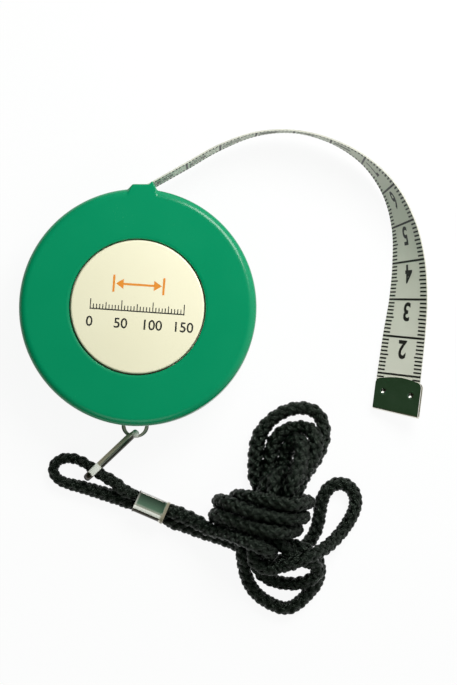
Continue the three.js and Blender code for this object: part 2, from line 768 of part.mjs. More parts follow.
const hankLobes = points([
  [30.5, -41.3, 1.9], [30.5, -38.7, 1.9], [30.7, -35.8, 1.9], [32.1, -31.8, 1.9], [35.5, -28.2, 1.9],
  [39.2, -26.3, 1.9], [42.7, -25.8, 1.9], [46, -26.6, 1.9], [47.8, -28.7, 1.9], [48.2, -31.6, 1.9],
  [47.7, -35, 1.9], [46.3, -38.4, 1.9], [44.2, -41.8, 2.6], [41.7, -45.4, 5.2], [39.3, -49.8, 5.9],
  [37.8, -53.7, 5.9], [36.5, -57.3, 5.9], [37.8, -60.5, 5.7], [40.9, -62.3, 5], [44.4, -64, 3.4],
  [46.8, -65.9, 2], [47.3, -68, 1.9], [46.4, -70.4, 1.9], [44.2, -74, 1.9], [41.8, -76.7, 1.9],
  [38.6, -78.5, 1.9], [35.5, -77.4, 1.9], [32.1, -75.7, 1.9], [29.5, -73.1, 1.9], [28, -70.1, 1.9],
  [27.6, -67.1, 3.4], [27.9, -63.6, 5.9], [28.1, -57.6, 5.9], [30.5, -51.1, 5.9], [33.1, -46.2, 4.6],
  [34.4, -41.6, 1.9], [34.5, -37.4, 1.9], [36.3, -34.5, 1.9], [38.8, -32.2, 1.9], [42, -31, 2.6],
  [44.9, -31.6, 4.6], [46.2, -33.6, 5.7], [45.6, -37, 5.7], [43.8, -40.9, 6], [40.9, -45.1, 6.6],
  [35.7, -50.3, 5.9], [33.1, -53.9, 5.9], [32.3, -57.3, 6], [34.1, -60.3, 7.6], [37.4, -62.8, 8.6],
  [41, -64.1, 8.6], [44.5, -65.1, 7.6], [46.6, -67.2, 5.8], [45.6, -69.9, 4.6], [43.1, -71.5, 2.6],
  [39.4, -71.8, 1.9], [35.8, -71.3, 1.9], [32.6, -69.8, 2.2], [30.8, -67.4, 3.8], [30.5, -64.3, 5.8],
  [31.2, -60.4, 5.9], [32.8, -56.2, 8.2], [35.1, -51.4, 9.7], [37, -46.4, 6.4], [38, -42.1, 2],
  [38.2, -38.4, 1.9], [38.6, -35.5, 2.2], [40.3, -33.7, 4.2], [42.5, -34.9, 5.8], [42.5, -38.8, 6],
  [40.9, -43, 6.4], [39.5, -46.6, 8.6], [38.7, -50.9, 9.7], [35.8, -56.1, 9.7], [32.2, -60.2, 9.7],
  [29.7, -62.9, 8.4],
]);
const wayBack = [
  ...points([
    [29.9, -65.2, 7], [32.5, -66.3, 7], [36.1, -66.3, 7.6], [40.2, -65.6, 9.4], [43.8, -64.2, 10.6],
    [47.8, -62.5, 8], [52, -59.3, 3.4], [55.5, -54.4, 1.9], [56.8, -50.2, 1.9], [55.5, -46.8, 1.9],
    [52.6, -45.5, 1.9], [49.7, -46.7, 1.9], [47.9, -50, 1.9], [47, -55.2, 1.9], [45.4, -59.9, 1.9],
    [42.6, -63.3, 1.9], [38.9, -65.4, 1.9], [34.7, -65.7, 1.9], [31, -64.2, 1.9], [27.9, -62.8, 1.9],
    [25.3, -61.6, 1.9], [22.1, -60.3, 1.9], [18.7, -59.1, 1.9], [15.8, -58.2, 1.9], [12.4, -56.6, 1.9],
  ]),
  ferruleStrand(1, -1, cordDiameter),
  ferruleStrand(1, -1, 0),
];
const laidLoop = new THREE.CatmullRomCurve3(
  [...leadIn, ...waistWraps, ...hankLobes, ...wayBack],
  false,
  'centripetal',
);
laidLoop.arcLengthDivisions = spanDivisions * (laidLoop.points.length - 1);

// The laid cord after it has settled: strands that touch move apart and up from the table, no bend is
// tighter than the cord allows, and the line stays near its laid place and keeps its length.
function settledLoop(laid) {
  const count = Math.round(laid.getLength() / settling.step);
  const start = laid.getSpacedPoints(count);
  const line = start.map((place) => place.clone());
  const span = laid.getLength() / count;
  const held = Math.ceil(cordDiameter / settling.step) + 1;
  const neighbours = Math.ceil((Math.PI * tightestBend) / settling.step);
  const clear = cordDiameter + strandGap;
  const between = new THREE.Vector3();

  // Moves two points towards a distance between least and most, each by its share of what is missing.
  function space(i, j, least, most, share) {
    between.subVectors(line[j], line[i]);
    const now = between.length();
    const move = (share * (THREE.MathUtils.clamp(now, least, most) - now)) / now;
    if (move === 0) return;
    if (i >= held) line[i].addScaledVector(between, -move);
    if (j <= count - held) line[j].addScaledVector(between, move);
  }

  function closePairs() {
    const pairs = [];
    for (let i = 0; i <= count; i++) {
      for (let j = i + neighbours; j <= count; j++) {
        if (line[i].distanceTo(line[j]) < clear + settling.step) pairs.push([i, j]);
      }
    }
    return pairs;
  }

  let pairs = [];
  for (let round = 0; round < settling.rounds; round++) {
    const ease = round < settling.firstRounds * settling.rounds ? 1 : settling.lateEase;
    if (round % 10 === 0) pairs = closePairs();
    const before = line.map((place) => place.clone());
    for (let i = held; i <= count - held; i++) {
      line[i].x += settling.home * ease * (start[i].x - line[i].x);
      line[i].y += settling.home * ease * (start[i].y - line[i].y);
      line[i].z += ease * (settling.height * (start[i].z - line[i].z) - settling.sag);
      for (const [step, weight] of [[-2, -1], [-1, 4], [0, -6], [1, 4], [2, -1]]) {
        line[i].addScaledVector(before[i + step], settling.stiffness * Math.sqrt(ease) * weight);
      }
    }
    for (let pass = 0; pass < 2; pass++) {
      for (const [i, j] of pairs) space(i, j, clear, Infinity, settling.push);
      for (let i = 0; i < count; i++) {
        space(i, i + 1, span * (1 - settling.stretch), span * (1 + settling.stretch), settling.pull);
      }
      for (const reach of settling.bendReach) {
        const turn = Math.min((reach * span) / (2 * tightestBend), Math.PI / 2);
        const chord = 2 * tightestBend * Math.sin(turn);
        for (let i = 0; i + reach <= count; i++) space(i, i + reach, chord, Infinity, settling.unbend);
      }
      for (const place of line) place.z = Math.max(place.z, strandLow);
    }
  }
  return new THREE.CatmullRomCurve3(line, false, 'centripetal');
}
const neckLoop = settledLoop(laidLoop);
neckLoop.arcLengthDivisions = spanDivisions * (neckLoop.points.length - 1);

// A stretch of the neck loop between two of the laid points, held half a fit gap off its ends.
class Stretch extends THREE.Curve {
  constructor(first, last) {
    super();
    const spans = laidLoop.points.length - 1;
    const lengths = laidLoop.getLengths();
    const at = (i) => lengths[i * spanDivisions] / lengths.at(-1);
    const margin = fitGap / 2 / neckLoop.getLength();
    this.from = at(first) + (first > 0 ? margin : 0);
    this.to = at(last) - (last < spans ? margin : 0);
    this.length = (this.to - this.from) * neckLoop.getLength();
  }

  getPoint(t) {
    return neckLoop.getPointAt(THREE.MathUtils.lerp(this.from, this.to, t));
  }
}

const hankStart = leadIn.length - 1;
const hankEnd = laidLoop.points.length - wayBack.length - 1;
const leadStretch = new Stretch(0, hankStart);
const hankStretch = new Stretch(hankStart, hankEnd);
const backStretch = new Stretch(hankEnd, laidLoop.points.length - 1);
const cordStep = 2 * cordDiameter;
const hankStep = 2.2;

function cordTube(path, length, sides, step) {
  return tube(path, cordDiameter / 2, sides, Math.ceil(length / step));
}
addPiece('cord_small_loop', cordTube(smallLoop, smallLoop.getLength(), 8, cordStep / 2), blackCord);
addPiece('cord_lead', cordTube(leadStretch, leadStretch.length, 8, cordStep / 2), blackCord);
addPiece('cord_hank', cordTube(hankStretch, hankStretch.length, 6, hankStep), blackCord);
addPiece('cord_free_loop', cordTube(backStretch, backStretch.length, 8, cordStep / 2), blackCord);

// Least gap of the neck loop to itself, measured on points a millimetre apart.
function leastGap(path, length) {
  const places = path.getSpacedPoints(Math.ceil(length));
  const apart = Math.ceil(3 * cordDiameter);
  let least = Infinity;
  let where = places[0];
  for (let i = 0; i < places.length; i++) {
    for (let j = i + apart; j < places.length; j++) {
      const gap = places[i].distanceTo(places[j]) - cordDiameter;
      if (gap < least) {
        least = gap;
        where = places[i];
      }
    }
  }
  return `${least.toFixed(2)} mm at ${where.toArray().map((value) => value.toFixed(1))}`;
}
for (const [name, path] of [['neck loop', neckLoop], ['small loop', smallLoop]]) {
  const length = path.getLength();
  console.log(name, length.toFixed(0), 'mm, least gap', leastGap(path, length));
}

export default model;
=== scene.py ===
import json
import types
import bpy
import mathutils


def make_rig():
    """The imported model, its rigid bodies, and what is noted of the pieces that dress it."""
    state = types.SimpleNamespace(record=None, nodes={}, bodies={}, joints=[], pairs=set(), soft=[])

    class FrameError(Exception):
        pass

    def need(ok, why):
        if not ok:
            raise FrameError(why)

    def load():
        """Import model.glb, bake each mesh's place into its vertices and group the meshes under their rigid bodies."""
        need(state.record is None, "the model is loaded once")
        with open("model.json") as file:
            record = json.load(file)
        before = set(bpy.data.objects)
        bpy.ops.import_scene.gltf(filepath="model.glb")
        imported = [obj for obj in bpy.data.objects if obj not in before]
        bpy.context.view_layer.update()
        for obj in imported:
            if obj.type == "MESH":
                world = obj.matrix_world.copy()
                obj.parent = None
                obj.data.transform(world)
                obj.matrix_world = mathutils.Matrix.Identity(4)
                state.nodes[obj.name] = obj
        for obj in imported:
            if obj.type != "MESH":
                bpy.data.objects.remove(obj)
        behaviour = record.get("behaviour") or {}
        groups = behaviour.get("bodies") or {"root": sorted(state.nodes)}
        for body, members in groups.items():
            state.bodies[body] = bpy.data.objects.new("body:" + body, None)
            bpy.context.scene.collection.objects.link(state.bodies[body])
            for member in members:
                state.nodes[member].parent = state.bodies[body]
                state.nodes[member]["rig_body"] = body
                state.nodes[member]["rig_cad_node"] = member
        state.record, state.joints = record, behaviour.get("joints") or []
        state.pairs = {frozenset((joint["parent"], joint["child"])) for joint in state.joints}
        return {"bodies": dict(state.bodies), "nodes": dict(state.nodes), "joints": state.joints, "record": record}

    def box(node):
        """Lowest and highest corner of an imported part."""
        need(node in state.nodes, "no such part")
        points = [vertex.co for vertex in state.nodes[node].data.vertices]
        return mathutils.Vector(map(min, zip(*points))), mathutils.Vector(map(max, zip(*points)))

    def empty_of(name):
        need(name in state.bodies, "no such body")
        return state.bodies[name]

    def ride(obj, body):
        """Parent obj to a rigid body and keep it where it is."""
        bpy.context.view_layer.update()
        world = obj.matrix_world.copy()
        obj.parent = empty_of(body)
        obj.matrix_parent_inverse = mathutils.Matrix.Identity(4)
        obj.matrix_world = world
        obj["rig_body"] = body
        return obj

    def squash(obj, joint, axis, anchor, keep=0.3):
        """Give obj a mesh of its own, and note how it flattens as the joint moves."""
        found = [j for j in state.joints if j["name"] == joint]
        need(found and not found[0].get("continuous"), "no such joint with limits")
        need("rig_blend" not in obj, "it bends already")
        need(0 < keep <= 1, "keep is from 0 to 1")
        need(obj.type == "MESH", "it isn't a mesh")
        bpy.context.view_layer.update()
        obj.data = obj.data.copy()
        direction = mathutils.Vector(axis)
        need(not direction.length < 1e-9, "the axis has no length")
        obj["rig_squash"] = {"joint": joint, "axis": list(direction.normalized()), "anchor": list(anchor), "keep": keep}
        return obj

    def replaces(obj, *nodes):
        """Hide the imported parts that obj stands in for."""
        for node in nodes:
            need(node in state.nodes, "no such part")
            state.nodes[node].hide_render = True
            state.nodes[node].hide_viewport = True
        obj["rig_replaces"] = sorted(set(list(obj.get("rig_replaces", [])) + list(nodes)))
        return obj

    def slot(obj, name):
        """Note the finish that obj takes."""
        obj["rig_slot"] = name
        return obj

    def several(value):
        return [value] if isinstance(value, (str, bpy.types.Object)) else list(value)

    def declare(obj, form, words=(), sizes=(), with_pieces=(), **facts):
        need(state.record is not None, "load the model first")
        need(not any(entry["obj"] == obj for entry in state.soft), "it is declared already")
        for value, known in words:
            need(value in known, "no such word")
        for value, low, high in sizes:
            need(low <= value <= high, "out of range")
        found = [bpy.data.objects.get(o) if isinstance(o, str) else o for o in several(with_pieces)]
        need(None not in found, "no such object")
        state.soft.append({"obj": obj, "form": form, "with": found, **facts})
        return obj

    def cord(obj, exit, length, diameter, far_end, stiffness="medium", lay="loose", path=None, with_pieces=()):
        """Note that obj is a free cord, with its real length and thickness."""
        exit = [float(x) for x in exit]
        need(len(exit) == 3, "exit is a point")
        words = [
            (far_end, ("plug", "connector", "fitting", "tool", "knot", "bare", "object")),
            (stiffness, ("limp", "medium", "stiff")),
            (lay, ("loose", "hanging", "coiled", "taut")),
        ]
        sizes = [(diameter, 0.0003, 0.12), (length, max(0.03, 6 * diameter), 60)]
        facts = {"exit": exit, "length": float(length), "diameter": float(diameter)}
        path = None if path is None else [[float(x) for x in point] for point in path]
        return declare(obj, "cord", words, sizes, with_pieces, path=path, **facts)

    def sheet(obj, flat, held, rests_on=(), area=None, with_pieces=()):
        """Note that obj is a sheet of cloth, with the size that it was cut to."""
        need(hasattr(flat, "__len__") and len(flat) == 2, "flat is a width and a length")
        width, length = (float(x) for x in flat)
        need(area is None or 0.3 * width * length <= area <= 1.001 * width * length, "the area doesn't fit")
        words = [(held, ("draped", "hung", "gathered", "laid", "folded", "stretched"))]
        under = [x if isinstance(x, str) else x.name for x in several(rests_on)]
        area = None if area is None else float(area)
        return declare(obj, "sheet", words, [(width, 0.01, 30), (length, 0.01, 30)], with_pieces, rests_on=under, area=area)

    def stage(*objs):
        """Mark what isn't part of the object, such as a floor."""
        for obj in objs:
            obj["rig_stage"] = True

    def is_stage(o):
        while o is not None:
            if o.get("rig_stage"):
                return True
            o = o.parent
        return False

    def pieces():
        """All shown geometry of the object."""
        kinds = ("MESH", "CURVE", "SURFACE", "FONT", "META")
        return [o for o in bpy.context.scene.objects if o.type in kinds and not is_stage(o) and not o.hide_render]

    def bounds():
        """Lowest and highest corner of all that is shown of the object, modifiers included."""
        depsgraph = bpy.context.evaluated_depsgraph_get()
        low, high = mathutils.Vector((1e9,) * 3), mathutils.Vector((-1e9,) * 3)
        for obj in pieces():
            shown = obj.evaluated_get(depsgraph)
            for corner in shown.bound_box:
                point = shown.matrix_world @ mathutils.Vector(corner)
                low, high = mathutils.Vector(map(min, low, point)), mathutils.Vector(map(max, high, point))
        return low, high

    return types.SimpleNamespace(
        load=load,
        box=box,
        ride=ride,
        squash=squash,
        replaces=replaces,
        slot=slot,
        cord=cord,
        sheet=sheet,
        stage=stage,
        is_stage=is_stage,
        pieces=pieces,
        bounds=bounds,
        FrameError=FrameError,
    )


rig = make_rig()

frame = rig.load()
import json
import math
import bmesh
import bpy
from mathutils import Vector
from mathutils.kdtree import KDTree

# Looks of the round push-button tape measure on its neck cord.
# Sizes are in millimetres and become metres through mm; the frame gives the places.
mm = 0.001
mergeWithin = {"solid": 0.002, "print": 0.0005}
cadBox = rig.bounds()
scene = bpy.context.scene
scene.view_settings.view_transform = "Standard"


# Small helpers for modelling

def deselectAll():
    active = bpy.context.view_layer.objects.active
    if active and active.mode != "OBJECT":
        endEdit()
    bpy.ops.object.select_all(action="DESELECT")


def onlySelect(piece):
    deselectAll()
    piece.select_set(True)
    bpy.context.view_layer.objects.active = piece


def editAll(piece):
    onlySelect(piece)
    bpy.ops.object.mode_set(mode="EDIT")
    bpy.ops.mesh.select_all(action="SELECT")


def endEdit():
    bpy.ops.object.mode_set(mode="OBJECT")


def newPiece(name):
    piece = bpy.context.object
    piece.name = piece.data.name = name
    return piece


def added(name, operator, **options):
    deselectAll()
    operator(**options)
    return newPiece(name)


def applyModifier(piece, kind, **settings):
    onlySelect(piece)
    modifier = piece.modifiers.new(kind, kind)
    for key, value in settings.items():
        setattr(modifier, key, value)
    bpy.ops.object.modifier_apply(modifier=modifier.name)


def thicken(piece, thickness):
    applyModifier(piece, "SOLIDIFY", thickness=thickness * mm, offset=0.0, use_even_offset=True)


def cutWith(piece, cutter, operation="DIFFERENCE"):
    applyModifier(piece, "BOOLEAN", operation=operation, solver="EXACT", object=cutter)
    bpy.data.objects.remove(cutter)


def joinPieces(name, pieces):
    onlySelect(pieces[0])
    for piece in pieces[1:]:
        piece.select_set(True)
    bpy.ops.object.join()
    return newPiece(name)


def placeInMesh(piece):
    onlySelect(piece)
    bpy.ops.object.transform_apply(location=True, rotation=True, scale=True)
    return piece


def settle(piece, smoothAngle, outwards=True):
    editAll(placeInMesh(piece))
    bpy.ops.mesh.remove_doubles(threshold=mergeWithin["solid"] * mm)
    if outwards:
        bpy.ops.mesh.normals_make_consistent(inside=False)
    endEdit()
    bpy.ops.object.shade_smooth_by_angle(angle=math.radians(smoothAngle))


def dress(piece, material, body, slot, *nodes):
    piece.data.materials.clear()
    piece.data.materials.append(materials[material])
    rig.ride(piece, body)
    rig.slot(piece, slot)
    if nodes:
        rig.replaces(piece, *nodes)


def arcPoints(centreR, centreZ, radius, fromDegrees, steps):  # a quarter turn
    turns = [math.radians(fromDegrees + 90 * i / steps) for i in range(steps + 1)]
    return [(centreR + radius * math.cos(t), centreZ + radius * math.sin(t)) for t in turns]


def spinProfile(name, profile, steps):  # radius and height pairs, drawn as a line and spun about Z
    piece = added(name, bpy.ops.mesh.primitive_plane_add, size=mm)
    editAll(piece)
    bpy.ops.mesh.merge(type="CENTER")
    bpy.ops.transform.translate(value=(profile[0][0] * mm, 0, profile[0][1] * mm))
    for (radius, height), (nextRadius, nextHeight) in zip(profile, profile[1:]):
        move = ((nextRadius - radius) * mm, 0, (nextHeight - height) * mm)
        bpy.ops.mesh.extrude_vertices_move(TRANSFORM_OT_translate={"value": move})
    bpy.ops.mesh.select_all(action="SELECT")
    bpy.ops.mesh.spin(steps=steps, angle=2 * math.pi, center=(0, 0, 0), axis=(0, 0, 1))
    endEdit()
    return piece


def shapedTorus(name, around, across, place):  # a torus whose points go where place(turn, section) says
    major = 10 * mm
    piece = added(
        name, bpy.ops.mesh.primitive_torus_add, major_segments=around, minor_segments=across,
        major_radius=major, minor_radius=2 * mm)
    for vertex in piece.data.vertices:
        spot = vertex.co
        turn = math.atan2(spot.y, spot.x) % (2 * math.pi)
        section = math.atan2(spot.z, math.hypot(spot.x, spot.y) - major) % (2 * math.pi)
        vertex.co = Vector(place(turn, section)) * mm
    return piece


def shapedGrid(name, columns, rows, place):  # a grid whose points go where place says, from -1 to 1 each way
    piece = added(
        name, bpy.ops.mesh.primitive_grid_add, x_subdivisions=columns, y_subdivisions=rows, size=2 * mm)
    for vertex in piece.data.vertices:
        vertex.co = place(vertex.co.x / mm, vertex.co.y / mm) * mm
    return piece


def clothStrip(name, columns, rows, thick, place, flatPlace):  # cloth that also keeps its flat place for the weave
    flatPlaces = []

    def kept(x, y):
        flatPlaces.append(flatPlace(x, y))
        return place(x, y)

    piece = shapedGrid(name, columns, rows, kept)
    flat = piece.data.uv_layers[0]
    flat.name = "flat"
    for loop in piece.data.loops:
        flat.data[loop.index].uv = flatPlaces[loop.vertex_index]
    thicken(piece, thick)
    settle(piece, 40)
    return piece


def smoothStep(value, low, high):
    share = min(max((value - low) / (high - low), 0), 1)
    return share * share * (3 - 2 * share)


def within(value, rise, fall):  # 1 between two soft ends
    return smoothStep(value, *rise) * (1 - smoothStep(value, *fall))


def mixed(a, b, share):
    return a + (b - a) * share


# Camera at the photograph's place

camera = {"place": (23.3, -28.0, 500.0), "tilt": 2.24, "focal": 1889.8, "imageHeight": 685, "sensor": 36}
bpy.ops.object.camera_add(
    location=Vector(camera["place"]) * mm, rotation=(math.radians(camera["tilt"]), 0, 0))
scene.camera = bpy.context.object
scene.camera.data.sensor_width = camera["sensor"]
scene.camera.data.lens = camera["focal"] / camera["imageHeight"] * camera["sensor"]
scene.camera.data.clip_start = 0.01
print("camera placed")


# Routes: smooth curves through given points, in millimetres

route = {"perSpan": 30, "shortest": 1e-4}


def onRoute(points, t):
    last = len(points) - 1
    span = min(int(t * last), last - 1)
    weight = t * last - span
    p1, p2 = points[span], points[span + 1]
    p0 = points[span - 1] if span > 0 else p1 * 2 - p2
    p3 = points[span + 2] if span + 2 <= last else p2 * 2 - p1
    d0, d1, d2 = (max((b - a).length ** 0.5, route["shortest"]) for a, b in ((p0, p1), (p1, p2), (p2, p3)))
    leave = ((p1 - p0) / d0 - (p2 - p0) / (d0 + d1) + (p2 - p1) / d1) * d1
    arrive = ((p2 - p1) / d1 - (p3 - p1) / (d1 + d2) + (p3 - p2) / d2) * d1
    bend = p1 * -3 + p2 * 3 - leave * 2 - arrive
    twist = p1 * 2 - p2 * 2 + leave + arrive
    return p1 + leave * weight + bend * weight ** 2 + twist * weight ** 3


def evenRoute(points, step):  # the route again, as points about step apart
    parts = route["perSpan"] * (len(points) - 1)
    fine = [onRoute(points, i / parts) for i in range(parts + 1)]
    lengths = [0.0]
    for a, b in zip(fine, fine[1:]):
        lengths.append(lengths[-1] + (b - a).length)
    count = round(lengths[-1] / step)
    line, k = [], 0
    for i in range(count + 1):
        want = lengths[-1] * i / count
        while k < len(fine) - 2 and lengths[k + 1] < want:
            k += 1
        share = (want - lengths[k]) / (lengths[k + 1] - lengths[k])
        line.append(fine[k].lerp(fine[k + 1], min(max(share, 0), 1)))
    return line, lengths[-1]


# Cord: a round braid of eight yarns over a core, in a small loop and the long neck loop

cord = {
    "diameter": 3.3, "outer": 1.85, "yarns": 8, "yarnTurn": 11.2, "yarnWide": 0.58, "yarnThick": 0.46,
    "weaveLift": 0.26, "step": 0.34, "core": 1.1, "coreSides": 8, "coreStep": 4, "squeeze": 0.74,
    "squeezeRun": (0.8, 2.6), "intoFerrule": 1.2,
    "plump": 0.17, "packedX": ((25, 29), (48.6, 49.6)), "packedY": ((-48, -44), (-34, -28)),
    "neckFull": 1.06, "lowerFull": 1.0, "upperFull": 0.84, "upperFrom": (-1, 1.5),
    "besideFerrule": 0.15, "besideReach": (9, 22), "bendReach": (19, 26),
}
ferrule = {
    "centre": (3.0, -51.7), "heading": -23.2, "length": 8.6, "width": 5.6, "height": 6.0,
    # the strip along the round edge and the end lip are where painted highlights go
    "crisp": 0.25, "round": 1.9, "lowCorner": 1.2, "paintedHighlightStrip": 1.0, "paintedHighlightEnd": 0.8,
    "flare": 0.25, "low": 0.45, "gap": 0.3, "spread": 2.5, "strandLow": 1.85, "strandHigh": 4.85,
    "wall": 0.5, "recess": 2.2,
}
ferruleTurn = math.radians(ferrule["heading"])
ferruleAlong = Vector((math.cos(ferruleTurn), math.sin(ferruleTurn), 0))
ferruleAcross = Vector((-ferruleAlong.y, ferruleAlong.x, 0))


def ferruleStrand(end, side, further):
    height = ferrule["strandHigh"] if side > 0 else ferrule["strandLow"]
    middle = Vector((*ferrule["centre"], height))
    reach = end * (ferrule["length"] / 2 + ferrule["gap"] + further)
    return middle + ferruleAlong * reach + ferruleAcross * side * ferrule["spread"] / 2


def vectors(rows):
    return [Vector(row) for row in rows]


smallLoop = [
    ferruleStrand(-1, 1, -cord["intoFerrule"]),
    ferruleStrand(-1, 1, 0),
    ferruleStrand(-1, 1, cord["diameter"]),
    *vectors([
        (-6.6, -45.2, 4.5), (-10, -43.2, 4.3), (-12, -41.8, 4.2), (-14.6, -40.1, 3.4), (-17.4, -39.1, 2),
        (-20.2, -39.1, 1.85), (-22.2, -40.3, 1.85), (-22.8, -42.4, 1.85), (-21.4, -44.5, 1.85), (-19, -45.6, 1.85),
        (-15.4, -46.5, 1.85), (-11.6, -47.6, 1.85), (-8, -48.7, 1.85),
    ]),
    ferruleStrand(-1, -1, cord["diameter"]),
    ferruleStrand(-1, -1, 0),
    ferruleStrand(-1, -1, -cord["intoFerrule"]),
]
# Neck loop: over and round the waist of the hank, through its lobes, out and back, as it was laid by hand
leadIn = vectors([
    (12.5, -54.4, 5.1), (15.9, -55.9, 5.3), (19, -57.3, 6.8),
])
waistWraps = vectors([
    (22.1, -58.1, 9.6), (26.3, -59.5, 12), (30.9, -61, 12.4), (33.7, -61.9, 11), (35.1, -62.5, 6.5),
    (33.7, -61.7, 2.2), (30, -59.7, 1.9), (24.2, -56.5, 1.9), (20.8, -54.9, 2.6), (20, -53.6, 7),
    (21.6, -53.4, 11.4), (26.3, -55.1, 13.4), (31.9, -57.1, 13.5), (37, -57.6, 12.8), (40.1, -57.5, 7.5),
    (38.9, -56.8, 2.2), (32.1, -55.2, 1.9), (24.7, -52.8, 1.9), (21.6, -51.5, 2.8), (20.8, -50.5, 7),
    (22.7, -50.3, 11.4), (26.8, -51.8, 13.5), (31.9, -53.3, 13.5), (37.5, -53.9, 13.4), (41.5, -53.9, 11),
    (43, -53.4, 6), (40.8, -52.6, 1.9), (32.1, -51.3, 1.9), (27.4, -49.9, 2.4), (25.3, -49, 6.4),
    (26.5, -48.5, 11), (30.9, -49.3, 13.5), (36.5, -50.3, 13.5), (41, -50.7, 11.4), (43, -50.5, 6.4),
    (41, -49.7, 2), (35.8, -48.4, 1.9), (32.1, -46.8, 1.9), (30.7, -44.4, 1.9),
])
hankLobes = vectors([
    (30.5, -41.3, 1.9), (30.5, -38.7, 1.9), (30.7, -35.8, 1.9), (32.1, -31.8, 1.9), (35.5, -28.2, 1.9),
    (39.2, -26.3, 1.9), (42.7, -25.8, 1.9), (46, -26.6, 1.9), (47.8, -28.7, 1.9), (48.2, -31.6, 1.9),
    (47.7, -35, 1.9), (46.3, -38.4, 1.9), (44.2, -41.8, 2.6), (41.7, -45.4, 5.2), (39.3, -49.8, 5.9),
    (37.8, -53.7, 5.9), (36.5, -57.3, 5.9), (37.8, -60.5, 5.7), (40.9, -62.3, 5), (44.4, -64, 3.4),
    (46.8, -65.9, 2), (47.3, -68, 1.9), (46.4, -70.4, 1.9), (44.2, -74, 1.9), (41.8, -76.7, 1.9),
    (38.6, -78.5, 1.9), (35.5, -77.4, 1.9), (32.1, -75.7, 1.9), (29.5, -73.1, 1.9), (28, -70.1, 1.9),
    (27.6, -67.1, 3.4), (27.9, -63.6, 5.9), (28.1, -57.6, 5.9), (30.5, -51.1, 5.9), (33.1, -46.2, 4.6),
    (34.4, -41.6, 1.9), (34.5, -37.4, 1.9), (36.3, -34.5, 1.9), (38.8, -32.2, 1.9), (42, -31, 2.6),
    (44.9, -31.6, 4.6), (46.2, -33.6, 5.7), (45.6, -37, 5.7), (43.8, -40.9, 6), (40.9, -45.1, 6.6),
    (35.7, -50.3, 5.9), (33.1, -53.9, 5.9), (32.3, -57.3, 6), (34.1, -60.3, 7.6), (37.4, -62.8, 8.6),
    (41, -64.1, 8.6), (44.5, -65.1, 7.6), (46.6, -67.2, 5.8), (45.6, -69.9, 4.6), (43.1, -71.5, 2.6),
    (39.4, -71.8, 1.9), (35.8, -71.3, 1.9), (32.6, -69.8, 2.2), (30.8, -67.4, 3.8), (30.5, -64.3, 5.8),
    (31.2, -60.4, 5.9), (32.8, -56.2, 8.2), (35.1, -51.4, 9.7), (37, -46.4, 6.4), (38, -42.1, 2),
    (38.2, -38.4, 1.9), (38.6, -35.5, 2.2), (40.3, -33.7, 4.2), (42.5, -34.9, 5.8), (42.5, -38.8, 6),
    (40.9, -43, 6.4), (39.5, -46.6, 8.6), (38.7, -50.9, 9.7), (35.8, -56.1, 9.7), (32.2, -60.2, 9.7),
    (29.7, -62.9, 8.4),
])
wayBack = vectors([
    (29.9, -65.2, 7), (32.5, -66.3, 7), (36.1, -66.3, 7.6), (40.2, -65.6, 9.4), (43.8, -64.2, 10.6),
    (47.8, -62.5, 8), (52, -59.3, 3.4), (55.5, -54.4, 1.9), (56.8, -50.2, 1.9), (55.5, -46.8, 1.9),
    (52.6, -45.5, 1.9), (49.7, -46.7, 1.9), (47.9, -50, 1.9), (47, -55.2, 1.9), (45.4, -59.9, 1.9),
    (42.6, -63.3, 1.9), (38.9, -65.4, 1.9), (34.7, -65.7, 1.9), (31, -64.2, 1.9), (27.9, -62.8, 1.9),
    (25.3, -61.6, 1.9), (22.1, -60.3, 1.9), (18.7, -59.1, 1.9), (15.8, -58.2, 1.9), (12.4, -56.6, 1.9),
])
laidLoop = [
    ferruleStrand(1, 1, 0), ferruleStrand(1, 1, cord["diameter"]), *leadIn, *waistWraps, *hankLobes, *wayBack,
    ferruleStrand(1, -1, cord["diameter"]), ferruleStrand(1, -1, 0),
]
settling = {
    "step": 1.5, "rounds": 500, "firstRounds": 0.7, "lateEase": 0.2, "home": 0.05, "height": 0.006, "sag": 0.004,
    "stiffness": 0.035, "push": 0.35, "stretch": 0.07, "pull": 0.5, "unbend": 0.22, "bendReach": (4, 6),
    "gap": 0.62, "tightestBend": 2.7, "lowest": 1.85,
}


